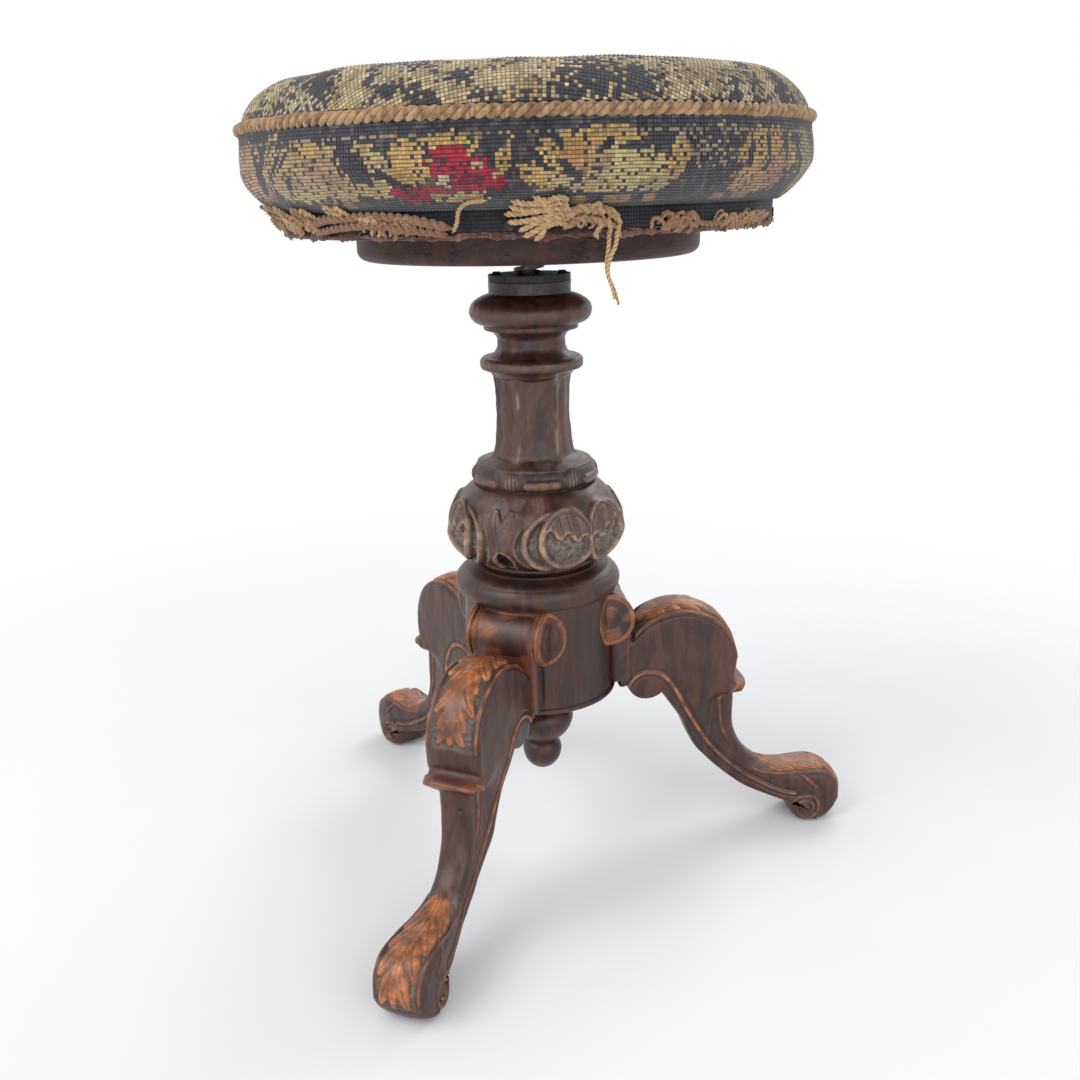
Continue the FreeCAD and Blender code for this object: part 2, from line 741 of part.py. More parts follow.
# Free ends of the fringe, each a route of points from the middle tuft down: how far
# sideways round the seat, how far in or out, and how far below the tuft
THREAD_ROUTES = {
    "loose_thread_long": [(0.0, -1.3, 0.0), (0.0, -1.3, -7.0), (-1.6, -1.2, -14.5),
                          (-1.0, -1.0, -21.5), (2.6, -0.6, -28.0), (4.4, -0.4, -35.0)],
    "loose_thread_short": [(3.2, 1.3, 0.0), (3.2, 1.3, -5.5), (-0.8, 1.5, -12.5),
                           (-2.4, 1.6, -19.5), (0.4, 1.5, -26.0), (1.6, 1.2, -32.0)],
}
THREAD_AZIMUTH = 39.0


def thread_point(sideways, outward, drop):
    """A point of a hanging thread, measured from the middle tuft's underside."""
    azimuth = math.radians(THREAD_AZIMUTH)
    reach = plain(TUFT_INNER) + plain(size("tuft_depth")) / 2.0 + outward
    x = reach * math.sin(azimuth) + sideways * math.cos(azimuth)
    y = -reach * math.cos(azimuth) + sideways * math.sin(azimuth)
    return Vector(x, y, plain(TUFT_BOTTOM) + drop)


def arc_route(points):
    """Straight runs joined by arcs as large as the runs allow; prints the arcs' radii."""
    edges = []
    radii = []
    start = points[0]
    for before, corner, after in zip(points, points[1:], points[2:]):
        inward = (before - corner).normalize()
        outward = (after - corner).normalize()
        turn = math.pi - inward.getAngle(outward)
        shorter = min(before.distanceToPoint(corner), after.distanceToPoint(corner))
        reach = 0.45 * shorter
        radius = reach / math.tan(turn / 2.0)
        radii.append(round(radius, 1))
        first, last = corner + inward * reach, corner + outward * reach
        centre_way = (inward + outward).normalize()
        centre = corner + centre_way * (radius / math.cos(turn / 2.0))
        middle = centre - centre_way * radius
        edges += [Part.LineSegment(start, first).toShape(), Part.Arc(first, middle, last).toShape()]
        start = last
    edges.append(Part.LineSegment(start, points[-1]).toShape())
    return Part.Wire(edges), radii


def make_loose_threads():
    for label, route in THREAD_ROUTES.items():
        points = [thread_point(*place) for place in route]
        wire, radii = arc_route(points)
        section = Part.makeCircle(plain(size("thread_radius")), points[0], points[1] - points[0])
        tube = wire.makePipeShell([Part.Wire(section)], True, False)
        expected = wire.Length * math.pi * plain(size("thread_radius")) ** 2
        print(label, "length", round(wire.Length, 1), "radii", radii,
              "volume ratio", round(tube.Volume / expected, 3))
        keep(label, solid(tube))


def arc_points(centre, radius, start, sweep):
    """Three points of an arc about a centre, angles in degrees from the outward way."""
    angles = (start, start + sweep / 2.0, start + sweep)
    return [(centre[0] + radius * math.cos(math.radians(angle)),
             centre[1] + radius * math.sin(math.radians(angle))) for angle in angles]


def side_outline(loops, across):
    """Closed wire in a leg's side plane, from (reach, height) points, two for a line."""
    edges = []
    for loop in loops:
        points = [Vector(across, -reach, height) for reach, height in loop]
        if len(points) == 2:
            edges.append(Part.LineSegment(*points).toShape())
        else:
            edges.append(Part.Arc(*points).toShape())
    return Part.Wire(Part.__sortEdges__(edges))


# Where the knee's crown starts at the roll and ends at the cuff, degrees up from outward
KNEE_ARC = (145.0, -14.0)


def leg_side():
    """Outline of the leg's side: knee, cuff, shin, foot and its scroll, and the lobe."""
    top = plain(DRUM_TOP)
    knee = (plain(size("knee_reach")), top - plain(size("knee_drop")))
    knee_radius = plain(size("knee_radius"))
    start = plain(size("block_reach")) - 6.0
    knee_arc = arc_points(knee, knee_radius, KNEE_ARC[0], KNEE_ARC[1] - KNEE_ARC[0])
    cuff_tip = plain(size("cuff_reach"))
    cuff_top = knee_arc[2]
    cuff_low = (plain(size("shin_reach")), cuff_top[1] - plain(size("cuff_height")) - 6.0)
    cuff_round = (cuff_tip, cuff_top[1] - plain(size("cuff_height")) * 0.7)
    instep = plain(size("instep_radius"))
    foot = (plain(size("foot_reach")), plain(size("foot_radius")))
    foot_radius = foot[1]
    ankle = (cuff_low[0] + instep, foot_radius * 2.0 + 0.4 + instep)
    shin_bottom = (cuff_low[0], ankle[1])
    instep_arc = arc_points(ankle, instep, 180.0, 90.0)
    toe_arc = arc_points(foot, foot_radius, 90.0, -180.0)
    scroll_radius = plain(size("scroll_radius"))
    scroll = (foot[0] - plain(size("foot_flat")), scroll_radius)
    scroll_arc = arc_points(scroll, scroll_radius, 270.0, -105.0)
    lobe = (plain(size("lobe_reach")), plain(DRUM_BOTTOM) + 1.0)
    lobe_radius = plain(size("lobe_radius"))
    lobe_arc = arc_points(lobe, lobe_radius, -40.0, -130.0)
    thickness = plain(size("shin_thickness"))
    hock = (cuff_low[0] - thickness, shin_bottom[1] + 2.0)
    sole = (scroll_arc[2][0], scroll_arc[2][1])
    sag = (hock[0] + (sole[0] - hock[0]) * 0.38, hock[1] + (sole[1] - hock[1]) * 0.62)
    block_low = (start, lobe_arc[2][1])
    loops = [
        [(start, knee_arc[0][1]), knee_arc[0]], knee_arc,
        [cuff_top, cuff_round, cuff_low], [cuff_low, shin_bottom], instep_arc,
        [instep_arc[2], toe_arc[0]], toe_arc, [toe_arc[2], scroll_arc[0]], scroll_arc,
        [sole, sag, hock], [hock, lobe_arc[0]], lobe_arc, [lobe_arc[2], block_low],
        [block_low, (start, knee_arc[0][1])],
    ]
    return loops, cuff_low[1], knee


def leg_mask(cuff_low):
    """What the leg's widths leave: wide at knee and foot, slender at the shin."""
    wide = plain(size("leg_half_width"))
    slim = plain(size("shin_half_width"))
    foot_wide = plain(size("foot_half_width"))
    foot = plain(size("foot_reach"))
    toe = foot + plain(size("foot_radius")) + 1.0
    shin = plain(size("shin_reach"))
    margin = 1.0
    top = plain(DRUM_TOP) + margin
    front = [(-wide - margin, top), (wide + margin, top), (wide + margin, cuff_low + 5.0),
             (slim + 3.5, cuff_low), (-slim - 3.5, cuff_low), (-wide - margin, cuff_low + 5.0)]
    knee_wall = Part.makePolygon([Vector(across, 0, height) for across, height in front + front[:1]])
    knee_part = Part.Face(knee_wall).extrude(Vector(0, -toe, 0))
    widths = [(40.0, slim + 3.5), (shin - 28.0, slim + 2.5), (shin - 8.0, slim), (shin + 14.0, slim),
              (foot - 20.0, foot_wide - 2.5), (foot - 4.0, foot_wide), (foot + 8.0, foot_wide)]
    side = Part.BSplineCurve()
    side.interpolate([Vector(across, -reach, -margin) for reach, across in widths])
    other = Part.BSplineCurve()
    other.interpolate([Vector(-across, -reach, -margin) for reach, across in widths])
    near, far = widths[0], widths[-1]
    nose = Part.Arc(Vector(far[1], -far[0], -margin), Vector(0, -toe - 6.0, -margin),
                    Vector(-far[1], -far[0], -margin))
    heel = Part.LineSegment(Vector(near[1], -near[0], -margin), Vector(-near[1], -near[0], -margin))
    plan = Part.Wire(Part.__sortEdges__([side.toShape(), nose.toShape(), other.toShape(),
                                         heel.toShape()]))
    low_part = Part.Face(plan).extrude(Vector(0, 0, cuff_low + 1.0 + margin))
    return knee_part.fuse(low_part)


def crown_edges(knee):
    """What rounding the two long edges of the knee's crown takes away."""
    wide = plain(size("leg_half_width"))
    radius = plain(size("knee_radius"))
    rim = plain(size("knee_round"))
    spare = 1.0
    centre = Vector(0, -knee[0], knee[1])
    across_leg = Vector(1, 0, 0)
    corners = []
    for side in (-1.0, 1.0):
        def place(across, up):
            return Vector(side * across, -knee[0], knee[1] + up)
        inner, outer = place(wide - rim, radius), place(wide, radius - rim)
        middle = place(wide - rim * (1.0 - math.sqrt(0.5)), radius - rim * (1.0 - math.sqrt(0.5)))
        beyond = [outer, place(wide + spare, radius - rim), place(wide + spare, radius + spare),
                  place(wide - rim, radius + spare), inner]
        outline = Part.Wire([Part.Arc(inner, middle, outer).toShape()]
                            + list(Part.makePolygon(beyond).Edges))
        section = Part.Face(outline)
        section.rotate(centre, across_leg, 90.0 - KNEE_ARC[0])
        corners.append(section.revolve(centre, across_leg, KNEE_ARC[0] - KNEE_ARC[1]))
    return corners[0].fuse(corners[1])


def leg_shape():
    """One leg pointing along -Y, cut to sit on the drum."""
    wide = plain(size("leg_half_width"))
    loops, cuff_low, knee = leg_side()
    blank = Part.Face(side_outline(loops, -wide)).extrude(Vector(2.0 * wide, 0, 0))
    carved = blank.common(leg_mask(cuff_low)).cut(crown_edges(knee))
    drum = plain(size("drum_radius")) + plain(size("seat_clearance"))
    low = plain(DRUM_BOTTOM) + plain(size("block_lift"))
    roll_level = plain(DRUM_TOP) - plain(size("roll_drop"))
    half = plain(size("block_half_width"))
    inner = drum - 12.0
    block = Part.makeBox(2.0 * half, plain(size("block_reach")) - inner, roll_level - low,
                         Vector(-half, -plain(size("block_reach")), low))
    across = Vector(1, 0, 0)
    roll_half = plain(size("roll_half_length"))
    roll_centre = Vector(-roll_half, -plain(size("roll_reach")), roll_level)
    roll_radius = plain(size("roll_radius"))
    roll = Part.makeCylinder(roll_radius - 0.9, 2.0 * roll_half, roll_centre, across)
    bead = plain(size("roll_bead"))
    far_end = roll_centre + across * (2.0 * roll_half - bead)
    beads = [Part.makeCylinder(roll_radius, bead, corner, across) for corner in (roll_centre, far_end)]
    whole = carved.fuse([block, roll] + beads)
    height = plain(DRUM_TOP) - low + 40.0
    seat = Part.makeCylinder(drum, height, Vector(0, 0, low - 20.0))
    whole = whole.cut(seat)
    spare = plain(GLUE) / 2.0
    start = plain(size("dowel_start")) - spare
    length = plain(size("dowel_length")) + 2.0 * spare
    for level in DOWEL_LEVELS:
        hole = Part.makeCylinder(plain(size("dowel_radius")) + spare, length,
                                 Vector(0, -start, plain(DRUM_BOTTOM) + level), Vector(0, -1, 0))
        whole = whole.cut(hole)
    floor = Part.makeBox(200.0, 400.0, 20.0, Vector(-100.0, -400.0, -20.0))
    print("leg volume", round(whole.Volume), "solids", len(whole.Solids))
    return whole.cut(floor).removeSplitter()


def make_legs():
    shape = leg_shape()
    for index in range(LEG_COUNT):
        turn = Placement(Vector(), Rotation(Vector(0, 0, 1), index * LEG_STEP))
        keep(f"leg_{index + 1}", solid(shape, turn))


make_hub_drum()
keep("leg_dowels", group(dowels(AXIS)))
make_legs()
make_finial()
make_base_cap()
make_carved_knop()
make_column_shaft()
make_screw_nut()
make_nut_screws()
make_thrust_collar()
make_seat_screw()
make_seat_flange()
keep("flange_screws", group(flange_screw_shapes()))
make_seat_block()
keep("block_screws", group(block_screw_shapes()))
make_seat_board()
make_seat_stuffing()
make_linen_cover()
make_needlework_top()
make_needlework_border()
make_piping_cord()
keep("cover_tacks", group(tack_shapes()))
make_worn_braid()
make_fringe_tufts()
make_loose_threads()

doc.recompute()

for item in doc.Objects:
    if "Invalid" in item.State or "Error" in item.State:
        raise RuntimeError(f"{item.Name} ({item.Label}) failed: {item.State}")
for label, thing in pieces.items():
    if thing.Shape.isNull() or not thing.Shape.isValid():
        raise RuntimeError(f"{label} has no sound shape")

os.makedirs("parts", exist_ok=True)
for label, thing in pieces.items():
    thing.Shape.exportStep(f"parts/{label}.step")
print(len(pieces), "sub-parts written")
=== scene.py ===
"""Looks of the revolving piano stool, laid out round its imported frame."""

import math

import bmesh
import bpy
import numpy as np
from mathutils import Matrix, Vector


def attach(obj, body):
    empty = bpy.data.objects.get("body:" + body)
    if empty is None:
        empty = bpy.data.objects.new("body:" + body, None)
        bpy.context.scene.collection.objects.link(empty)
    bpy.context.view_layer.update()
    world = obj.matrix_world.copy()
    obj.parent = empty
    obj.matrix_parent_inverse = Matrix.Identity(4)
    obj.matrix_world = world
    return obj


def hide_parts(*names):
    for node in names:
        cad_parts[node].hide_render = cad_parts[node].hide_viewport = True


bl_info = {
    "name": "Revolving piano stool",
    "version": (1, 0, 0),
    "blender": (4, 5, 0),
    "location": "3D View > Sidebar > Stool",
    "description": "Carved walnut stool with a needlework seat on a lifting screw",
    "category": "Object",
}

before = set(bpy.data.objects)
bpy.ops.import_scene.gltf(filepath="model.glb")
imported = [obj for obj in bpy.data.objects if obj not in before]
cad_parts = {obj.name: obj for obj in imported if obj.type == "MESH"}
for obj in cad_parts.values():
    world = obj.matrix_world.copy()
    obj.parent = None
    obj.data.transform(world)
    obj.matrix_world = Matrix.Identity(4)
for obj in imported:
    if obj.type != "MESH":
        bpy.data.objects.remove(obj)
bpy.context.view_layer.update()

MM = 0.001
LEG_COUNT = 3
LEG_STEP = 120.0

# Heights and radii shared with the turned and upholstered pieces, in millimetres
DRUM_TOP, CAP_TOP, KNOP_TOP, SHAFT_TOP = 187.0, 211.0, 260.0, 385.5
BOARD_TOP, SEAM, CROWN = 434.0, 473.5, 503.0
BOARD_RADIUS, SEAT_RADIUS, CORD_RADIUS = 142.0, 165.5, 3.5
SEAM_RADIUS = SEAT_RADIUS - CORD_RADIUS * 0.8
SHOULDER_RADIUS, SHOULDER_DROP = 130.0, 4.0
CROWN_BULGE = math.tan(math.atan(SHOULDER_DROP / SHOULDER_RADIUS) / 2.0)
DRUM_FACE = 49.15

# The carving depth, in millimetres, that the heights of the reliefs are drawn for
DRAWN_DEPTH = 1.4
# Edges that a weld takes out, in millimetres
SLIVER = 0.002
# Sines that make up a slow wander, and what keeps their sum near -1 to 1
WANDER_WAVES, WANDER_SPREAD, WANDER_GAIN, WANDER_LIMIT = 10, 2.2, 0.42, 1.4


# Numbers along curves

def outline(corners, step):
    """Points along (reach, height, bulge) corners; the bulge bends the stretch after a corner."""
    points = []
    for first, last in zip(corners, corners[1:]):
        bulge = first[2] if len(first) > 2 else 0.0
        across, up = last[0] - first[0], last[1] - first[1]
        length = math.hypot(across, up)
        start = np.array(first[:2], float)
        way = np.array([across, up]) / length
        if bulge == 0.0:
            count = max(1, math.ceil(length / step))
            points += [start + way * length * i / count for i in range(count)]
            continue
        half = 2.0 * math.atan(abs(bulge))
        radius = length / (2.0 * math.sin(half))
        count = max(3, math.ceil(2.0 * half * radius / step))
        side = np.array([way[1], -way[0]]) * math.copysign(1.0, bulge)
        for turn in np.linspace(-half, half, count + 1)[:-1]:
            lift = radius * (math.cos(turn) - math.cos(half))
            points.append(start + way * (length / 2.0 + radius * math.sin(turn)) + side * lift)
    points.append(np.array(corners[-1][:2], float))
    return np.array(points)


def swing(centre, radius, start, sweep, step=0.75):
    """Points of an arc about a centre, its angles in degrees from the outward way."""
    count = max(2, math.ceil(abs(math.radians(sweep)) * radius / step))
    turn = np.radians(np.linspace(start, start + sweep, count + 1))
    return np.stack([centre[0] + radius * np.cos(turn), centre[1] + radius * np.sin(turn)], -1)


def smooth_line(points, count):
    """A smooth line through points, with count points in all."""
    points = np.asarray(points, float)
    padded = np.vstack([2 * points[0] - points[1], points, 2 * points[-1] - points[-2]])
    spans = len(points) - 1
    where = np.linspace(0.0, spans - 1e-9, count)
    span, t = np.floor(where).astype(int), (where % 1.0)[:, None]
    a, b, c, d = (padded[span + k] for k in range(4))
    return 0.5 * (2 * b + (c - a) * t + (2 * a - 5 * b + 4 * c - d) * t ** 2
                  + (3 * b - a - 3 * c + d) * t ** 3)


def lengths(points):
    """Distance run so far at each point of a line."""
    return np.concatenate([[0.0], np.cumsum(np.linalg.norm(np.diff(points, axis=0), axis=1))])


def even(points, step):
    """The same line with its points a steady step apart."""
    run = lengths(points)
    count = max(2, int(round(run[-1] / step)) + 1)
    want = np.linspace(0.0, run[-1], count)
    return np.stack([np.interp(want, run, points[:, k]) for k in range(points.shape[1])], -1)


def ease(value, low, high):
    """Smooth step from 0 at low to 1 at high."""
    t = np.clip((value - low) / (high - low), 0.0, 1.0)
    return t * t * (3.0 - 2.0 * t)


def drift(points, size, seed):
    """Slow, even wandering of about -1 to 1 over points, the same on each run."""
    pick = np.random.default_rng(seed)
    waves = pick.normal(size=(points.shape[-1], WANDER_WAVES)) * (WANDER_SPREAD / size)
    starts = pick.uniform(0, 2 * np.pi, WANDER_WAVES)
    total = np.sin(points @ waves + starts).sum(-1)
    return np.clip(total * WANDER_GAIN, -WANDER_LIMIT, WANDER_LIMIT)


def ridge(gap, width):
    """Height from 0 to 1 of a soft ridge, by the distance from its line."""
    return np.exp(-(gap / width) ** 2)


def wear_and_shade_marks(*parts):
    """Three marks of each place, kept from 0 to 1: on wood how rubbed and dusty it is, and how deep
    it lies, which sets the painted shade that darkens it.
    """
    return np.stack([np.clip(part, 0, 1) for part in parts], -1)


def nearest(across, up, line):
    """Distance from each place to a line, and how far along the line that is, 0 to 1."""
    line = np.asarray(line, float)
    run = lengths(line)
    best = np.full(np.shape(across), 1e9)
    along = np.zeros(np.shape(across))
    for k in range(len(line) - 1):
        step = line[k + 1] - line[k]
        t = np.clip(((across - line[k, 0]) * step[0] + (up - line[k, 1]) * step[1])
                    / (step @ step), 0.0, 1.0)
        gap = np.hypot(across - line[k, 0] - t * step[0], up - line[k, 1] - t * step[1])
        closer = gap < best
        best = np.where(closer, gap, best)
        along = np.where(closer, (run[k] + t * (run[k + 1] - run[k])) / run[-1], along)
    return best, along


def lobe(across, up, line, width, height, vein=0.6):
    """Height of one carved leaf lobe about its middle line, with a vein cut along it."""
    gap, along = nearest(across, up, smooth_line(line, 12))
    half = width * (0.3 + 0.7 * np.sin(np.pi * np.clip(0.1 + 0.88 * along, 0, 1)) ** 0.6)
    m = np.clip(1.0 - gap / half, 0.0, 1.0)
    return height * np.sqrt(1.0 - (1.0 - m) ** 2) - vein * ridge(gap, 0.5) * (m > 0)


def softened(field, passes, closed):
    """A height field averaged with its neighbours, to tell its hollows from its crests."""
    for _ in range(passes):
        rows = np.pad(field, ((1, 1), (0, 0)), "edge")
        field = (rows[:-2] + rows[1:-1] + rows[2:]) / 3.0
        sides = np.pad(field, ((0, 0), (1, 1)), "wrap" if closed else "edge")
        field = (sides[:, :-2] + sides[:, 1:-1] + sides[:, 2:]) / 3.0
    return field


# Meshes

def polar(reach, height, azimuth):
    """Points from reach, height and azimuth in degrees, azimuth 0 being the first leg's."""
    turn = np.radians(azimuth)
    reach, height, turn = np.broadcast_arrays(reach, height, turn)
    return np.stack([reach * np.sin(turn), -reach * np.cos(turn), height], -1)


def turned_about(points, degrees):
    """Points turned about the stool's axis."""
    c, s = math.cos(math.radians(degrees)), math.sin(math.radians(degrees))
    return points @ np.array([[c, s, 0], [-s, c, 0], [0, 0, 1]])


def carried(path, lean, spare=None):
    """Two directions square to a path at each point, turned as little as can be."""
    along = np.gradient(path, axis=0)
    along /= np.maximum(np.linalg.norm(along, axis=1, keepdims=True), 1e-9)
    side = np.cross(along[0], lean)
    if spare is not None and np.linalg.norm(side) < 0.1:
        side = np.cross(along[0], spare)
    first, second = [], []
    for way in along:
        side = side - way * (side @ way)
        side = side / np.linalg.norm(side)
        first.append(side)
        second.append(np.cross(way, side))
    return np.array(first), np.array(second)


def grid_faces(rows, columns, closed):
    """Four-sided faces over rows of points; closed joins each row's ends."""
    row = np.arange(rows - 1)[:, None]
    column = np.arange(columns if closed else columns - 1)[None, :]
    beside = (column + 1) % columns
    corners = [row * columns + column, row * columns + beside,
               (row + 1) * columns + beside, (row + 1) * columns + column]
    return np.stack(corners, -1).reshape(-1, 4)


def normals(points, closed):
    """Outward direction at each point of a grid whose columns run round it."""
    if closed:
        round_way = np.roll(points, -1, 1) - np.roll(points, 1, 1)
    else:
        round_way = np.gradient(points, axis=1)
    out = np.cross(round_way, np.gradient(points, axis=0))
    size = np.linalg.norm(out, axis=-1, keepdims=True)
    return out / np.maximum(size, 1e-9)


class Shape:
    """Points, faces and marks gathered for one piece."""

    def __init__(self):
        self.points, self.faces, self.marks, self.count = [], [], [], 0

    def add(self, points, faces, marks=None):
        points = np.asarray(points, float).reshape(-1, 3)
        self.points.append(points)
        self.faces += (np.asarray(faces) + self.count).tolist()
        blank = np.zeros((len(points), 3))
        self.marks.append(blank if marks is None else np.asarray(marks, float).reshape(-1, 3))
        self.count += len(points)

    def grid(self, points, closed, marks=None, ends=False):
        """Add a grid of points; ends closes its first and last rows to a point."""
        rows, columns = points.shape[:2]
        self.add(points, grid_faces(rows, columns, closed), marks)
        if ends:
            base = self.count - rows * columns
            for row, forward in ((0, False), (rows - 1, True)):
                middle = points[row].mean(0)
                first = base + row * columns
                mark = None if marks is None else marks[row].mean(0)
                self.add([middle], np.zeros((0, 3), int), mark)
                for k in range(columns if closed else columns - 1):
                    pair = [first + k, first + (k + 1) % columns]
                    self.faces.append((pair if forward else pair[::-1]) + [self.count - 1])

    def tube(self, path, radius, marks):
        """Add a tube along a path; radius is given for each point and side."""
        first, second = carried(path, [0.0, 0.0, 1.0], [1.0, 0.0, 0.0])
        turn = np.linspace(0.0, 2.0 * np.pi, radius.shape[1], endpoint=False)[None, :, None]
        ring = first[:, None] * np.cos(turn) + second[:, None] * np.sin(turn)
        self.grid(path[:, None] + ring * radius[..., None], True, marks, ends=True)


def lay_out(name, mesh, body, finish, replaced):
    """Put a mesh in the scene as a piece that rides on a body and stands for CAD nodes."""
    mesh.polygons.foreach_set("use_smooth", [True] * len(mesh.polygons))
    mesh.materials.append(finish)
    piece = bpy.data.objects.new(name, mesh)
    bpy.context.scene.collection.objects.link(piece)
    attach(piece, body)
    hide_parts(*replaced)
    return piece


def make_piece(name, shape, body, finish, replaced, weld=0.0, marked=False):
    """Turn a gathered shape into an object that rides on a body of the stool."""
    mesh = bpy.data.meshes.new(name)
    mesh.from_pydata((np.concatenate(shape.points) * MM).tolist(), [], shape.faces)
    if marked:
        layer = mesh.color_attributes.new("carving", "FLOAT_COLOR", "POINT")
        marks = np.concatenate(shape.marks)
        layer.data.foreach_set("color", np.hstack([marks, np.ones((len(marks), 1))]).ravel())
    net = bmesh.new()
    net.from_mesh(mesh)
    if weld:
        bmesh.ops.remove_doubles(net, verts=net.verts, dist=weld * MM)
        bmesh.ops.dissolve_degenerate(net, edges=net.edges, dist=SLIVER * MM)
    bmesh.ops.recalc_face_normals(net, faces=net.faces)
    net.to_mesh(mesh)
    net.free()
    return lay_out(name, mesh, body, finish, replaced)


def dress(finish, *names):
    """Give CAD pieces their finish and keep their shapes."""
    for name in names:
        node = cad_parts[name]
        node.data.materials.clear()
        node.data.materials.append(finish)


# Finishes

class Wire:
    """One socket of a finish, so that its maths reads as sums."""

    def __init__(self, finish, socket):
        self.finish, self.socket = finish, socket

    def sum(self, operation, first, second):
        return self.finish.node("Math", {"operation": operation}, {0: first, 1: second})

    def __add__(self, other):
        return self.sum("ADD", self, other)

    def __radd__(self, other):
        return self.sum("ADD", other, self)

    def __sub__(self, other):
        return self.sum("SUBTRACT", self, other)

    def __rsub__(self, other):
        return self.sum("SUBTRACT", other, self)

    def __mul__(self, other):
        return self.sum("MULTIPLY", self, other)

    def __rmul__(self, other):
        return self.sum("MULTIPLY", other, self)


class Finish:
    """One material, built round its main shader."""

    def __init__(self, name, **constants):
        self.material = bpy.data.materials.new(name)
        self.material.use_nodes = True
        self.tree = self.material.node_tree
        self.shader = self.tree.nodes["Principled BSDF"]
        for socket, value in constants.items():
            self.shader.inputs[socket.replace("_", " ")].default_value = value
        self.place = self.node("TexCoord", {}, {}, "Object")

    def feed(self, socket, value):
        if isinstance(value, Wire):
            self.tree.links.new(value.socket, socket)
        elif hasattr(value, "__len__"):
            size = len(socket.default_value)
            socket.default_value = tuple(value) + (1.0,) * (size - len(value))
        else:
            socket.default_value = value

    def node(self, kind, settings, sockets, out=0):
        """Add a node of a type, with its settings first and then its sockets."""
        made = self.tree.nodes.new("ShaderNode" + kind)
        for name, value in settings.items():
            setattr(made, name, value)
        for name, value in sockets.items():
            self.feed(made.inputs[name], value)
        return Wire(self, made.outputs[out])

    def noise(self, size, detail=3.0, rough=0.55, stretch=(1, 1, 1), warp=0.0):
        """Uneven pattern of patches about size millimetres across."""
        scaled = self.node("Mapping", {}, {"Vector": self.place, "Scale": stretch})
        sockets = {"Vector": scaled, "Scale": 1.0 / (size * MM), "Detail": detail,
                   "Roughness": rough, "Distortion": warp}
        return self.node("TexNoise", {}, sockets)

    def step(self, value, low, high):
        """Smooth step from 0 where a value is low to 1 where it is high."""
        return self.node("MapRange", {"interpolation_type": "SMOOTHSTEP"},
                         {"Value": value, "From Min": low, "From Max": high})

    def mix(self, share, first, second):
        """Colour between two, the second by its share."""
        return self.node("Mix", {"data_type": "RGBA"}, {0: share, 6: first, 7: second}, 2)

    def split(self, value, kind="Color"):
        """The three parts of a colour, or of a vector where kind is XYZ."""
        made = self.node("Separate" + kind, {}, {0: value})
        return [Wire(self, made.socket.node.outputs[k]) for k in range(3)]

    def marks(self, name="carving"):
        return self.node("Attribute", {"attribute_name": name}, {}, "Color")

    def cover(self, colour, roughness=None, height=None, depth=0.0, strength=0.0):
        """Send colour, roughness and relief to the shader; depth is in millimetres."""
        self.feed(self.shader.inputs["Base Color"], colour)
        if roughness is not None:
            self.feed(self.shader.inputs["Roughness"], roughness)
        if height is not None:
            bump = self.node("Bump", {}, {"Height": height, "Distance": depth * MM,
                                          "Strength": strength})
            self.feed(self.shader.inputs["Normal"], bump)
        return self.material


def shaded(colour, share):
    """A colour made darker or lighter, no part of it over 1."""
    return tuple(min(1.0, part * share) for part in colour)


def walnut(name, dark, mid, carved=False, grain=(1.0, 1.0, 0.12),
           rubbed=(0.43, 0.145, 0.042)):
    """Old varnished walnut; carved pieces also show their marks of wear and dust, and painted shade
    darkening their hollows.
    """
    wood = Finish(name, Coat_Weight=0.12, Coat_Roughness=0.25, Specular_IOR_Level=0.45)
    figure = wood.noise(9.0, 4.0, 0.6, grain, 0.6)
    pores = wood.noise(0.9, 2.0, 0.7, (grain[0], grain[1], grain[2] * 0.6))
    cloud = wood.noise(34.0, 3.0, 0.5)
    colour = wood.mix(wood.step(figure, 0.36, 0.66), dark, mid)
    colour = wood.mix(wood.step(pores, 0.56, 0.74) * 0.55, colour, shaded(dark, 0.35))
    colour = wood.mix(wood.step(cloud, 0.5, 0.75) * 0.4, colour, shaded(mid, 1.45))
    scuffs = wood.step(wood.noise(5.0, 5.0, 0.7, (1, 1, 2.5)), 0.62, 0.72)
    colour = wood.mix(scuffs * 0.35, colour, shaded(mid, 1.9))
    roughness = 0.36 + wood.step(cloud, 0.3, 0.7) * 0.1 + scuffs * 0.12
    height = figure * 0.25 + pores * 0.3 - scuffs * 0.2
    if carved:
        worn, dust, painted_shade = wood.split(wood.marks())
        patch = wood.step(wood.noise(2.6, 5.0, 0.7), 0.34, 0.62)
        worn = worn * (0.6 + patch * 0.45)
        # Painted shade in the carving's hollows: the third mark darkens the colour towards
        # near-black (it also darkens the shaft's neck and the rolls' boss rings)
        colour = wood.mix(painted_shade * 0.85, colour, (0.012, 0.006, 0.005))
        grey = wood.mix(patch, (0.105, 0.082, 0.062), (0.23, 0.19, 0.145))
        colour = wood.mix(dust * (0.5 + patch * 0.4), colour, grey)
        shade = wood.mix(wood.step(wood.noise(7.0, 3.0), 0.35, 0.65), rubbed,
                         shaded(rubbed, 1.7))
        colour = wood.mix(worn, colour, shade)
        roughness = roughness + dust * 0.35 - worn * 0.05
        height = height + patch * dust * 0.6
    return wood.cover(colour, roughness, height, 0.25, 0.5)


def iron(name, colour, rust, polish=0.0):
    """Old black iron with a little rust, rubbed bright where polish is high."""
    metal = Finish(name, Specular_IOR_Level=0.5)
    patches = metal.noise(4.5, 5.0, 0.65)
    grain = metal.noise(0.7, 3.0, 0.6)
    rusty = metal.step(patches, 0.55, 0.72)
    rubbed = metal.step(metal.noise(2.2, 4.0, 0.6), 0.4, 0.7)
    shade = metal.mix(rubbed, colour, shaded(colour, 1.7))
    shade = metal.mix(rusty * 0.7, shade, rust)
    metal.feed(metal.shader.inputs["Metallic"], 0.75 - rusty * 0.6)
    return metal.cover(shade, 0.48 - polish * 0.18 + rusty * 0.3 + grain * 0.08,
                       patches * 0.6 + grain * 0.4, 0.2, 0.6)


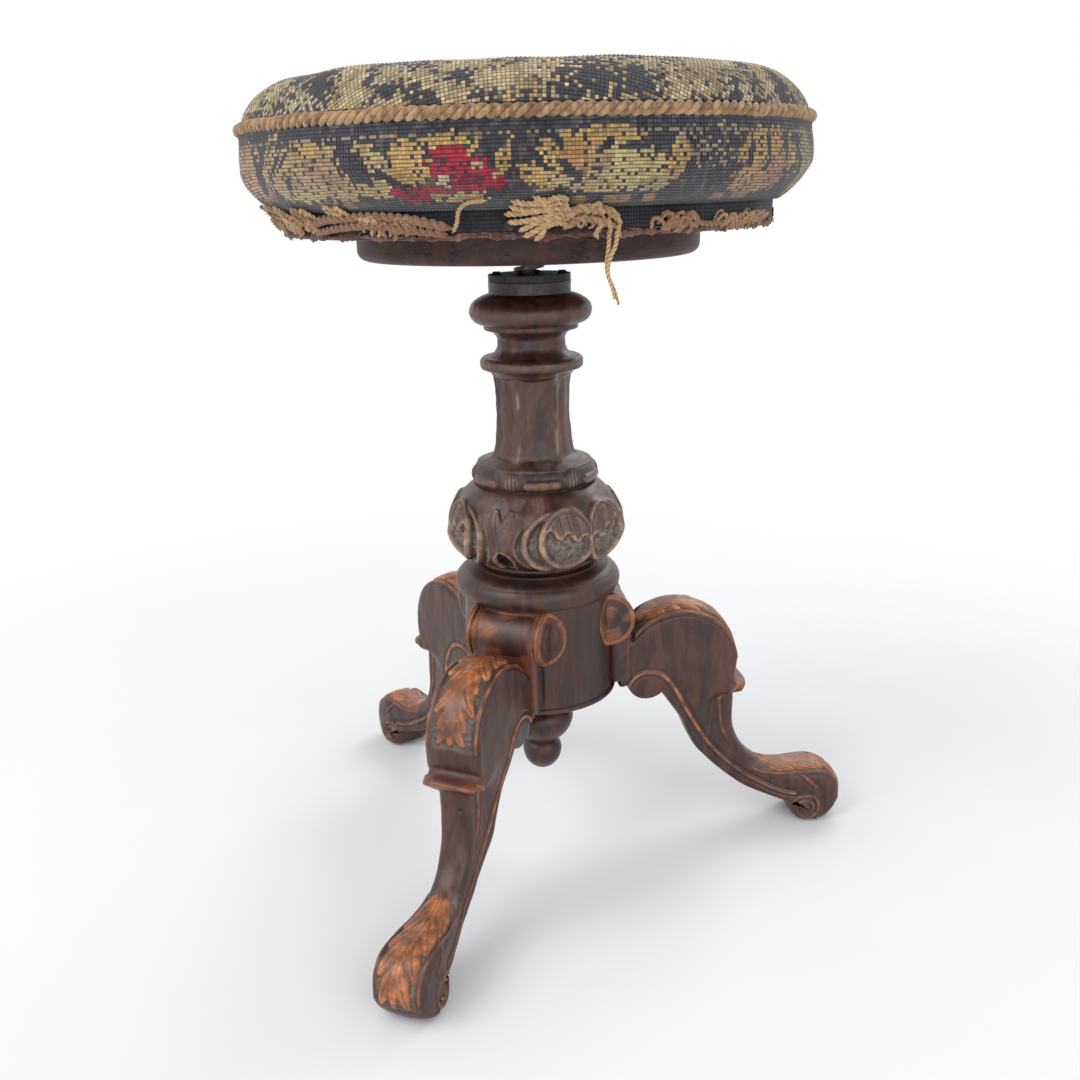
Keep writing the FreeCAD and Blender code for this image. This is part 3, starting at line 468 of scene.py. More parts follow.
def yarn_finish(name, pale, brown, dirt):
    """Twisted wool or cotton; its marks say how pale and how red each strand is, and how much
    painted shade darkens it in the grooves between its plies.
    """
    wool = Finish(name, Sheen_Weight=0.35, Sheen_Roughness=0.5, Specular_IOR_Level=0.15,
                  Roughness=0.88)
    pale_share, painted_groove_shade, redness = wool.split(wool.marks())
    fibre = wool.noise(0.45, 3.0, 0.7)
    soil = wool.step(wool.noise(6.0, 4.0, 0.6), 0.4, 0.7)
    colour = wool.mix(pale_share * (0.75 + fibre * 0.4), brown, pale)
    colour = wool.mix(soil * dirt, colour, shaded(brown, 0.35))
    colour = wool.mix(redness * 0.7, colour, (0.2, 0.075, 0.055))
    # Painted shade in the grooves between plies, darkening the wool towards deep brown
    colour = wool.mix(painted_groove_shade * 0.85, colour, shaded(brown, 0.16))
    return wool.cover(colour, None, fibre, 0.25, 0.8)


# Radians that the wool's strands turn by from one stitch to the next
STRAND_TURN = 18.85


def canvas_finish(name, side):
    """Wool stitches on canvas, with painted shade filling the holes between; side closes the holes
    beside each.
    """
    wool = Finish(name, Sheen_Weight=0.3, Sheen_Roughness=0.45, Specular_IOR_Level=0.12,
                  Roughness=0.92)
    across, up, _ = wool.split(wool.node("UVMap", {"uv_map": "stitches"}, {}), "XYZ")
    edges = [wool.node("Math", {"operation": "PINGPONG"}, {0: way, 1: 0.5})
             for way in (across, up)]
    gap = wool.node("Math", {"operation": "MINIMUM"}, {0: edges[0] * side + 0.03, 1: edges[1]})
    painted_hole_shade = 1.0 - wool.step(gap, 0.03, 0.2)
    twist = wool.node("Math", {"operation": "SINE"}, {0: (across + up) * STRAND_TURN})
    fibre = wool.noise(0.5, 3.0, 0.7)
    soil = wool.step(wool.noise(16.0, 4.0, 0.6), 0.42, 0.72)
    colour = wool.marks("stitch")
    colour = wool.mix(wool.step(fibre, 0.35, 0.7) * 0.2, colour, (0.03, 0.028, 0.03))
    colour = wool.mix(soil * 0.22, colour, (0.10, 0.085, 0.065))
    # Painted shade: the holes between stitches are darkened to near-black
    colour = wool.mix(painted_hole_shade * 0.82, colour, (0.012, 0.012, 0.016))
    height = wool.step(gap, 0.0, 0.3) + twist * 0.08 + fibre * 0.2
    return wool.cover(colour, None, height, 0.5, 0.7)


def cloth_finish(name, colour, thread=0.7 * MM):
    """Plain woven cloth with a fine over-and-under weave."""
    cloth = Finish(name, Sheen_Weight=0.15, Specular_IOR_Level=0.15)
    waves = [cloth.node("Math", {"operation": "SINE"}, {0: part * (math.pi / thread)})
             for part in cloth.split(cloth.place, "XYZ")]
    weave = waves[0] * waves[1] + waves[2] * 0.5
    stain = cloth.step(cloth.noise(20.0, 4.0, 0.6), 0.4, 0.7)
    shade = cloth.mix(stain * 0.6, colour, shaded(colour, 0.45))
    shade = cloth.mix(cloth.step(weave, -0.2, 0.8) * 0.35, shade, shaded(colour, 0.4))
    return cloth.cover(shade, 0.85 + stain * 0.1, weave, 0.2, 0.5)


# Settings a user would change

class StoolWood(bpy.types.PropertyGroup):
    dark: bpy.props.FloatVectorProperty(
        name="Dark wood", description="Walnut in its dark figure", subtype="COLOR",
        default=(0.026, 0.0105, 0.009), min=0.0, max=1.0)
    mid: bpy.props.FloatVectorProperty(
        name="Red wood", description="Walnut in its light figure", subtype="COLOR",
        default=(0.082, 0.027, 0.019), min=0.0, max=1.0)
    relief: bpy.props.FloatProperty(
        name="Carving depth", description="How deep the carving is cut", subtype="DISTANCE",
        unit="LENGTH", default=0.0014, min=0.0, max=0.003)


class StoolSeat(bpy.types.PropertyGroup):
    stitch: bpy.props.FloatProperty(
        name="Border stitch", description="Width of one stitch of the side band",
        subtype="DISTANCE", unit="LENGTH", default=0.00185, min=0.001, max=0.005)
    top_stitch: bpy.props.FloatProperty(
        name="Top stitch", description="Width of one stitch of the top panel",
        subtype="DISTANCE", unit="LENGTH", default=0.0021, min=0.001, max=0.005)
    ground: bpy.props.FloatVectorProperty(
        name="Ground wool", description="Colour of the dark ground stitches", subtype="COLOR",
        default=(0.047, 0.047, 0.058), min=0.0, max=1.0)
    cord_pale: bpy.props.FloatVectorProperty(
        name="Cord", description="Pale colour of the piping cord", subtype="COLOR",
        default=(0.47, 0.305, 0.15), min=0.0, max=1.0)
    cord_lay: bpy.props.FloatProperty(
        name="Cord lay", description="Length of one full turn of a strand of the cord",
        subtype="DISTANCE", unit="LENGTH", default=0.0165, min=0.004, max=0.05)
    swell: bpy.props.FloatProperty(
        name="Pad swell", description="How far the stuffing may move as it fills",
        subtype="DISTANCE", unit="LENGTH", default=0.0025, min=0.0, max=0.01)


class StoolStage(bpy.types.PropertyGroup):
    azimuth: bpy.props.FloatProperty(
        name="View azimuth", description="Where the camera stands round the stool",
        subtype="ANGLE", unit="ROTATION", default=math.radians(23.5))
    distance: bpy.props.FloatProperty(
        name="View distance", description="Camera's distance from the axis",
        subtype="DISTANCE", unit="LENGTH", default=0.7096, min=0.3)
    height: bpy.props.FloatProperty(
        name="View height", description="Camera's height over the floor",
        subtype="DISTANCE", unit="LENGTH", default=0.4411, min=0.0)
    key: bpy.props.FloatProperty(
        name="Main light", description="Strength of the large soft light",
        subtype="POWER", unit="POWER", default=17.0, min=0.0)


# Stage

# The camera's turns in degrees, and its focal length and frame in pixels
VIEW_PITCH, VIEW_ROLL, VIEW_YAW = 17.403, -1.5446, 0.1733
FOCAL_PIXELS, FRAME_PIXELS, SENSOR_WIDTH = 1133.93, 1080, 36.0
# The floor's reach and where it fades to white, in metres from the axis
FLOOR_REACH, FADE_START, FADE_END = 4.0, 0.34, 0.95
AIMED_AT = Vector((0, 0, 0.26))
# Soft lights: name, place, size and share of the main light's strength
LIGHTS = (("key", (-0.9, -1.3, 1.5), 1.3, 1.0), ("fill", (1.5, -1.1, 0.9), 1.4, 0.55),
          ("back", (0.3, 1.5, 1.5), 1.2, 0.7), ("front", (0.2, -1.7, 0.35), 1.0, 0.28))
WORLD_TINT, WORLD_STRENGTH = (0.95, 0.97, 1.0, 1.0), 0.62


class STOOL_OT_stage(bpy.types.Operator):
    """Set up the camera, the floor, the lights and the white surroundings"""
    bl_idname = "stool.stage"
    bl_label = "Stage"

    def execute(self, context):
        scene = context.scene
        wanted = scene.stool_stage
        scene.view_settings.view_transform = "Standard"
        self.camera(scene, wanted)
        self.floor(scene)
        self.lights(scene, wanted.key)
        self.surroundings(scene)
        return {"FINISHED"}

    def camera(self, scene, wanted):
        """Camera that sees the stool as the photograph does."""
        lens = bpy.data.cameras.new("view")
        lens.sensor_width = SENSOR_WIDTH
        lens.lens = FOCAL_PIXELS * SENSOR_WIDTH / FRAME_PIXELS
        pitch, roll, yaw = (math.radians(v) for v in (VIEW_PITCH, VIEW_ROLL, VIEW_YAW))
        ahead = Vector((math.sin(yaw) * math.cos(pitch), math.cos(yaw) * math.cos(pitch),
                        -math.sin(pitch)))
        level = ahead.cross(Vector((0, 0, 1))).normalized()
        upright = level.cross(ahead)
        right = level * math.cos(roll) + upright * math.sin(roll)
        up = upright * math.cos(roll) - level * math.sin(roll)
        turn = Matrix.Rotation(wanted.azimuth, 4, "Z")
        pose = Matrix((right, up, -ahead)).transposed().to_4x4()
        pose.translation = Vector((0, -wanted.distance, wanted.height))
        camera = bpy.data.objects.new("view", lens)
        camera.matrix_world = turn @ pose
        scene.collection.objects.link(camera)
        scene.camera = camera

    def floor(self, scene):
        """Pale floor that fades to white before its horizon."""
        mesh = bpy.data.meshes.new("floor")
        corners = ((-1, -1), (1, -1), (1, 1), (-1, 1))
        mesh.from_pydata([(x * FLOOR_REACH, y * FLOOR_REACH, 0) for x, y in corners], [],
                         [(0, 1, 2, 3)])
        floor = bpy.data.objects.new("floor", mesh)
        paper = Finish("pale_floor", Roughness=0.9, Specular_IOR_Level=0.1)
        tone = paper.noise(120.0, 2.0)
        paper.cover(paper.mix(tone, (0.90, 0.90, 0.90), (0.94, 0.94, 0.94)))
        away = paper.node("VectorMath", {"operation": "LENGTH"}, {0: paper.place}, 1)
        seen = paper.node("LightPath", {}, {}, "Is Camera Ray")
        white = paper.node("Emission", {}, {"Color": (1.0, 1.0, 1.0), "Strength": 1.0})
        share = paper.step(away, FADE_START, FADE_END) * seen
        plain = Wire(paper, paper.shader.outputs[0])
        blend = paper.node("MixShader", {}, {0: share, 1: plain, 2: white})
        paper.feed(paper.tree.nodes["Material Output"].inputs["Surface"], blend)
        mesh.materials.append(paper.material)
        scene.collection.objects.link(floor)

    def lights(self, scene, key):
        """Large soft lights, each a share of the main one."""
        for name, place, size, share in LIGHTS:
            lamp = bpy.data.lights.new(name, "AREA")
            lamp.size, lamp.energy = size, key * share
            light = bpy.data.objects.new(name, lamp)
            light.location = place
            aim = AIMED_AT - Vector(place)
            light.rotation_euler = aim.to_track_quat("-Z", "Y").to_euler()
            scene.collection.objects.link(light)

    def surroundings(self, scene):
        """Even light all round, which the camera and mirror-like rays see as white."""
        world = bpy.data.worlds.new("surroundings")
        world.use_nodes = True
        scene.world = world
        nodes, link = world.node_tree.nodes, world.node_tree.links.new
        nodes.clear()
        rays, blend, out = (nodes.new("ShaderNode" + kind)
                            for kind in ("LightPath", "MixShader", "OutputWorld"))
        seen, also = (nodes.new("ShaderNodeMath") for _ in range(2))
        seen.operation = also.operation = "MAXIMUM"
        link(rays.outputs["Is Camera Ray"], seen.inputs[0])
        link(rays.outputs["Is Glossy Ray"], also.inputs[0])
        link(rays.outputs["Is Transmission Ray"], also.inputs[1])
        link(also.outputs[0], seen.inputs[1])
        link(seen.outputs[0], blend.inputs["Fac"])
        shades = ((WORLD_TINT, WORLD_STRENGTH), ((1.0, 1.0, 1.0, 1.0), 1.0))
        for slot, (colour, strength) in enumerate(shades, 1):
            light = nodes.new("ShaderNodeBackground")
            light.inputs["Color"].default_value = colour
            light.inputs["Strength"].default_value = strength
            link(light.outputs[0], blend.inputs[slot])
        link(blend.outputs[0], out.inputs["Surface"])


# Turned wood of the column

def six_sided(circumradius, azimuth):
    """Reach of a six-sided shaft whose corners stand over the legs, with worn corners."""
    within = np.mod(azimuth, 60.0) - 30.0
    flat = circumradius * math.cos(math.radians(30.0)) / np.cos(np.radians(within))
    return np.minimum(flat, circumradius * (0.992 - 0.012 * ease(np.abs(within), 26.0, 30.0)))


def shaft_shape():
    """Column shaft: beaded collar, six-sided waist, ring, knob and neck, and its tenon."""
    line = outline([(18.0, 150.0), (18.0, KNOP_TOP - 0.1), (38.6, KNOP_TOP, 0.3),
                    (38.5, KNOP_TOP + 11.3, 0.3), (34.0, KNOP_TOP + 14.0),
                    (29.0, KNOP_TOP + 15.5), (24.0, KNOP_TOP + 17.5), (21.5, KNOP_TOP + 30.0),
                    (21.5, KNOP_TOP + 66.0), (25.1, KNOP_TOP + 68.5, -0.3),
                    (31.2, KNOP_TOP + 72.5, 0.25), (32.2, KNOP_TOP + 74.0),
                    (32.2, KNOP_TOP + 77.3, 0.4), (27.7, KNOP_TOP + 79.8, -0.3),
                    (21.1, KNOP_TOP + 86.5), (21.1, KNOP_TOP + 91.0, -0.3),
                    (29.0, KNOP_TOP + 96.5, 0.2), (29.2, KNOP_TOP + 99.3),
                    (32.8, KNOP_TOP + 100.3, 0.66), (33.5, SHAFT_TOP - 10.9, 0.1),
                    (25.3, SHAFT_TOP - 7.5), (25.3, SHAFT_TOP - 0.4, 0.4),
                    (24.9, SHAFT_TOP), (15.2, SHAFT_TOP)], 0.7)
    azimuth = np.arange(480) * 0.75
    up = line[:, 1:] + 0 * azimuth
    reach = line[:, :1] + 0 * azimuth
    rise = up - KNOP_TOP
    corner = np.interp(rise, [14.5, 19.0, 25.0, 42.0, 60.0, 69.5],
                       [29.5, 26.3, 24.9, 23.5, 23.8, 25.1])
    flats = six_sided(corner, azimuth) * ((rise > 14.4) & (rise < 69.6))
    reach = np.maximum(reach, flats)
    side = np.mod(azimuth, 60.0)
    bead_line = np.abs(side - 30.0) * 0.7
    bead = 1.9 * np.sqrt(np.clip(1 - (np.clip(bead_line - 9.5, 0, None) / 3.2) ** 2
                                 - ((rise - 4.9) / 3.4) ** 2, 0, 1))
    fan = np.minimum(side, 60.0 - side) * 0.7
    flute = 1.3 * np.clip(1 - (fan / 7.5) ** 2 - ((rise - 6.5) / 6.5) ** 2, 0, 1) * (
        0.65 + 0.35 * np.cos(fan * 2.4))
    on_collar = (rise > 0.3) & (rise < 13.0) & (reach > 30)
    carve = np.where(on_collar, np.maximum(bead, flute) - 0.9, 0.0)
    reach = reach + carve
    spots = polar(reach, up, azimuth)
    wander = drift(spots, 6.0, 3)
    reach = reach + 0.12 * wander * (up > KNOP_TOP)
    arris = ridge(np.minimum(side, 60 - side) * 0.42, 1.0) * (rise > 18) * (rise < 71)
    worn = arris * ease(drift(spots, 7.0, 5), -0.5, 0.9) * 0.75
    crest = np.clip(carve, 0, 1) * on_collar * 0.3
    # Painted shade in the cut-in hollows of the collar's carving
    painted_shade = np.clip(-carve, 0, 1) * on_collar * 0.9
    edge = ridge(rise - 76.0, 1.6) * 0.25 + ridge(rise - 107, 2.0) * 0.12
    dust = on_collar * ease(flute, 0.3, 1.0) * 0.8 + ((rise > 12) & (rise < 20)) * 0.35 * (
        0.5 + 0.5 * drift(spots, 9.0, 6))
    black = ease(rise, 116.0, 118.0) * 0.8
    shape = Shape()
    shape.grid(polar(reach, up, azimuth), True,
               wear_and_shade_marks(worn + crest + edge, dust, painted_shade + black), ends=True)
    return shape


# Millimetres to a degree round the knop, and the height its carving is drawn from
KNOP_DEGREE, KNOP_MIDDLE = 0.873, 235.0


def knop_shape(depth):
    """Carved knop: pairs of leaf cartouches between the legs, with crescents beside them."""
    line = outline([(17.0, CAP_TOP), (36.5, CAP_TOP, 0.34), (56.2, CAP_TOP + 18.0, 0.24),
                    (39.6, KNOP_TOP), (17.0, KNOP_TOP)], 0.5)
    azimuth = np.arange(720) * 0.5
    spots = polar(line[:, 0][:, None], line[:, 1][:, None], azimuth)
    near = np.mod(azimuth, LEG_STEP)
    a = np.minimum(near, LEG_STEP - near)[None] * KNOP_DEGREE + 0 * line[:, :1]
    h = line[:, 1][:, None] - KNOP_MIDDLE + 0 * a
    inside = np.hypot((a - 38.5) / 15.0, (h + 1.5) / 17.5)
    rim = 2.3 * ridge((inside - 1.0) * 15.0, 1.7)
    wave = 0.5 + 2.4 * np.cos((a - 38.5) * 0.62) - 0.25 * (a - 38.5)
    open_eye = ease(1.0 - inside, 0.06, 0.16)
    ground = open_eye * (1 - ease(h, wave - 0.6, wave + 0.6))
    leaf_zone = open_eye * ease(h, wave - 0.6, wave + 0.6)
    leaf = leaf_zone * (0.9 + 0.9 * np.abs(np.cos((a - 38.5) * 0.31)) * ease(h, -4.0, 6.0))
    veins = leaf_zone * 0.7 * (np.abs(np.mod((a - 38.5) * 0.2 + h * 0.03, 1.0) - 0.5) < 0.08)
    outer = np.hypot((a - 30.0) / 16.5, (h + 3.5) / 18.0)
    crescent = ease(1.0 - outer, 0.06, 0.18) * ease(inside, 1.1, 1.2)
    rib = 1.7 * ridge((outer - 1.0) * 16.5, 1.6) * (a < 34) * ease(inside, 1.08, 1.18)
    second = np.hypot((a - 24.0) / 17.0, (h + 5.0) / 18.5)
    hook = ease(1.0 - second, 0.04, 0.14) * ease(outer, 1.1, 1.2) * (a < 24)
    notch = ease(5.5 - a - np.clip(h + 15.0, 0, None) * 0.6, -0.6, 0.8) * ease(
        -9.0 - h, -1.5, 1.5)
    stem = lobe(a, h, [(0, -8), (2.5, 2), (5, 15)], 5.0, 1.4, 0.4)
    crown = lobe(a, h, [(60, -14), (60, 0), (60, 14)], 4.5, 1.6, 0.5)
    relief = (rim - 2.6 * ground + leaf - veins - 3.0 * crescent + rib - 2.0 * hook - 4.5 * notch
              + stem + crown)
    fade = ease(line[:, 0], 37.0, 41.0)[:, None] * ease(KNOP_TOP - line[:, 1], 0.3, 2.5)[:, None]
    relief = relief * fade * depth / DRAWN_DEPTH
    texture = 0.25 * drift(spots, 1.6, 9) * (ground + crescent) * fade
    uneven = 0.15 * drift(spots, 9.0, 2)
    points = spots + normals(spots, True) * (relief + texture + uneven)[..., None]
    high = relief - softened(relief, 9, True)
    wear = ease(drift(spots, 8.0, 4), -0.8, 0.6)
    worn = ease(high, 0.05, 0.7) * (0.5 + 0.5 * wear) + leaf_zone * 0.15
    dust = (ground * 0.9 + crescent * 0.75 + hook * 0.6 + (rib + rim) * 0.2 * wear
            + ease(h, -12, 12) * (a < 26) * 0.35 * wear) * fade
    # Painted shade in the carving's hollows and notches
    painted_shade = ease(-high, 0.2, 1.0) * 0.8 + notch * 0.9
    shape = Shape()
    shape.grid(points, True, wear_and_shade_marks(worn, dust - notch - painted_shade * 0.5, painted_shade), ends=True)
    return shape


class STOOL_OT_column(bpy.types.Operator):
    """Make the column's shaft and carved knop and finish the plain turnings"""
    bl_idname = "stool.column"
    bl_label = "Column"

    def execute(self, context):
        wood = context.scene.stool_wood
        dark, mid = tuple(wood.dark), tuple(wood.mid)
        carved = walnut("carved_column", dark, mid, carved=True, rubbed=(0.25, 0.16, 0.105))
        make_piece("column_shaft_carved", shaft_shape(), "base", carved,
                   ["column_shaft"], marked=True)
        make_piece("knop_carved", knop_shape(wood.relief / MM), "base", carved,
                   ["carved_knop"], marked=True)
        turning = walnut("turned_walnut", shaded(dark, 0.8), shaded(mid, 0.8))
        dress(turning, "hub_drum", "base_cap", "finial", "leg_dowels")
        return {"FINISHED"}


# Legs

KNEE, KNEE_RADIUS = (94.0, 130.0), 40.5
ROLL = (43.0, 168.5)
SCROLL, SCROLL_RADIUS, SCROLL_PITCH = (187.0, 11.2), 11.2, 3.9

# Columns of the skin from the middle of the front to the middle of the back
FRONT_COLUMNS, SIDE_COLUMNS, BACK_COLUMNS = 38, 46, 8

# Places on the leg's front, each with the place on its back that faces it
FRONT_TO_BACK = (
    ((52.0, 153.2), (52.0, 116.0)), ((75.0, 165.8), (70.5, 104.7)), ((94.0, 170.5), (80.3, 109.3)),
    ((122.6, 158.6), (88.0, 98.0)), ((133.3, 120.2), (95.8, 86.0)), ((133.8, 102.2), (101.0, 73.0)),
    ((133.8, 84.0), (108.0, 61.0)), ((146.2, 53.8), (128.0, 39.7)), ((176.3, 41.4), (158.0, 22.0)),
    ((193.0, 41.0), (176.2, 14.1)), ((213.5, 20.5), SCROLL), ((193.0, 0.0), SCROLL),
    ((176.2, 14.1), SCROLL),
)
# Side lines, and leaves as a middle line, a half width and a height, in millimetres
BACK_LINE = [(58, 118), (61, 122.5), (66, 125.5), (72, 126.3), (79, 124.5), (85, 119.5), (90, 112),
             (94.5, 103), (99, 94), (104.5, 84), (112, 71.5), (121, 59.5), (132, 48), (145, 37.5),
             (158, 29.5), (168, 25), (178, 22.8)]
SHIN_LINE = [(122.5, 99.0), (123.5, 84.0), (128.0, 70.0), (137.5, 57.0), (151.0, 49.0),
             (166.0, 45.5), (182.0, 38.0), (193.0, 27.5)]
KNEE_LEAVES = (
    ([(8, 0), (50, 0), (99, 0)], 4.4, 1.1), ([(12, 2), (20, 7), (29, 12.5)], 4.6, 1.0),
    ([(18, 2), (29, 6.5), (40, 12)], 4.6, 1.0), ([(30, 1), (44, 6), (54, 12)], 5.0, 1.05),
    ([(42, 1), (56, 4.5), (66, 9)], 4.6, 0.95), ([(54, 0.5), (70, 5), (80, 11.5)], 5.2, 1.05),
    ([(70, 0.5), (82, 4), (90, 8)], 4.4, 0.95), ([(82, 0.5), (92, 3.5), (99, 8)], 3.8, 0.9),
)
FOOT_LEAVES = (
    ([(166, 0), (195, 0), (226, 0)], 4.2, 1.2), ([(170, 1.5), (178, 6), (187, 11.5)], 4.4, 1.0),
    ([(180, 1.5), (190, 6), (199, 11.5)], 4.8, 1.05), ([(193, 1), (203, 5.5), (212, 11)], 4.8, 1.0),
    ([(206, 0.5), (216, 4.5), (225, 8.5)], 4.2, 0.95),
)


def leg_front():
    """The leg's front from the roll over knee, cuff, shin and foot to the scroll."""
    cuff = smooth_line([(133.3, 120.2), (131.9, 117.2), (134.6, 114.6), (139.6, 113.0),
                        (140.4, 110.9), (137.2, 107.6), (134.3, 104.8), (133.8, 101.5)], 40)
    parts = [
        np.array([(52.0, 153.2)]), swing(KNEE, KNEE_RADIUS, 145.0, -159.0), cuff[1:],
        np.array([(133.8, 92.0)]), swing((176.3, 83.9), 42.5, 180.0, 90.0),
        swing((193.0, 20.5), 20.5, 90.0, -180.0), swing(SCROLL, SCROLL_RADIUS, 270.0, -105.0),
    ]
    return even(np.vstack(parts), 0.72)


def leg_back():
    """The leg's back from the block under the lobe and down to the scroll."""
    bend = smooth_line([(95.8, 86.0), (101.0, 73.0), (108.0, 61.0), (126.4, 41.4), (148.0, 25.5),
                        (176.2, 14.1)], 60)
    parts = [np.array([(52.0, 115.6)]), swing((70.5, 117.5), 12.8, 190.0, 130.0),
             np.array([(88.0, 98.0)]), bend]
    return even(np.vstack(parts), 0.6)


def half_width(reach, height):
    """Half the leg's thickness from side to side."""
    low = np.interp(reach, [40, 105.8, 125.8, 147.8, 173, 189, 201, 208, 213.5, 217],
                    [14, 13, 10.5, 10.5, 15, 17.5, 17.5, 16.6, 13.7, 10.0])
    front = ease(reach, 96.0, 126.0)
    rise = ease(height, 74.0 + front * 28.0, 122.0 - front * 14.0)
    return low + (18.0 - low) * rise


def keep_out(points, top):
    """Move points under a level out of the hub drum."""
    near = np.hypot(points[..., 0], points[..., 1])
    inside = (near < DRUM_FACE) & (points[..., 2] < top)
    push = np.where(inside, DRUM_FACE / np.maximum(near, 1.0), 1.0)
    points[..., :2] *= push[..., None]


def along_path(path, corners):
    """How far along a path each of some corners lies."""
    run = lengths(path)
    found, start = [], 0
    for corner in corners:
        gaps = np.hypot(path[start:, 0] - corner[0], path[start:, 1] - corner[1])
        start += int(np.argmin(gaps))
        found.append(run[start])
    return np.array(found)


def leg_skin(depth):
    """Carved skin of one leg, pointing the first leg's way: its points and marks."""
    front, back = leg_front(), leg_back()
    run = lengths(front)
    front_marks = along_path(front, [pair[0] for pair in FRONT_TO_BACK])
    back_run = lengths(back)
    ends = along_path(back, [pair[1] for pair in FRONT_TO_BACK[:10]])
    on_back = np.interp(run, front_marks[:10], ends)
    behind = np.stack([np.interp(on_back, back_run, back[:, k]) for k in (0, 1)], -1)
    toward = ease(run, front_marks[9], front_marks[10])[:, None]
    behind = behind * (1 - toward) + np.array(SCROLL) * toward
    span = np.linalg.norm(behind - front, axis=1)[:, None]
    inward = (behind - front) / np.maximum(span, 1e-6)

    nose = np.interp(run, [0, 8, 60, front_marks[4], front_marks[6], front_marks[8],
                           front_marks[10], front_marks[11], run[-1]],
                     [9, 9, 9, 8, 7.5, 11, 10, 4.0, 2.0])[:, None]
    nose = np.minimum(nose, span * 0.45)
    tail = np.minimum(3.0, span * 0.2) * (1.0 - toward) + 0.01
    corner = np.radians(np.linspace(0.0, 90.0, FRONT_COLUMNS))[None]
    power = 2.0 / 2.7
    share_front = np.sin(corner) ** power
    deep_front = nose * (1.0 - np.cos(corner) ** power)
    flat = np.linspace(0.0, 1.0, SIDE_COLUMNS + 2)[None, 1:-1]
    deep_side = nose + (span - tail - nose) * flat
    turn = np.radians(np.linspace(0.0, 90.0, BACK_COLUMNS))[None]
    share_back = np.cos(turn) ** 0.7
    deep_back = span - tail + tail * np.sin(turn) ** 0.7
    rows = len(front)
    share = np.hstack([np.repeat(share_front, rows, 0), np.ones((rows, flat.size)),
                       np.repeat(share_back, rows, 0)])
    deep = np.hstack([deep_front, deep_side, deep_back])
    reach = front[:, :1] + inward[:, :1] * deep
    height = front[:, 1:] + inward[:, 1:] * deep
    across = share * half_width(reach, height)

    step = np.hypot(np.diff(across, axis=1), np.diff(deep, axis=1))
    v = np.hstack([np.zeros((rows, 1)), np.cumsum(step, axis=1)])
    u = np.repeat(run[:, None], v.shape[1], 1)
    relief, dust, glow = leg_relief(u, v, reach, height, front_marks)

    half = np.stack([across, -reach, height], -1)
    other = half[:, -2:0:-1] * np.array([-1.0, 1.0, 1.0])
    points = np.concatenate([half, other], 1)
    relief, dust, glow = (np.concatenate([f, f[:, -2:0:-1]], 1) for f in (relief, dust, glow))
    out = normals(points, True)
    outward_side = np.sign(points[..., 0]) * out[..., 0]
    out = out * np.where(outward_side.mean() < 0, -1.0, 1.0)
    relief = relief * depth / DRAWN_DEPTH
    cuts = 0.22 * drift(points, 1.3, 21) * dust + 0.12 * drift(points, 12.0, 22)
    moved = points + out * (relief + cuts)[..., None]
    crest = relief - softened(relief, 8, True)
    fine = ease(drift(points, 6.0, 24), -0.9, 0.7)
    worn = np.clip(glow * (0.62 + 0.38 * ease(crest, -0.15, 0.4)) * (0.6 + 0.4 * fine)
                   + ease(crest, 0.12, 0.55) * 0.3 * fine, 0, 1)
    # Painted shade in the carving's hollows
    painted_shade = ease(-crest, 0.12, 0.6) * 0.85
    marks = wear_and_shade_marks(worn, np.clip(dust * 0.85, 0, 1) * (1 - ease(crest, 0.1, 0.4)), painted_shade)
    keep_out(moved, DRUM_TOP)
    moved[..., 2] = np.maximum(moved[..., 2], 0.0)
    return moved, marks, front_marks


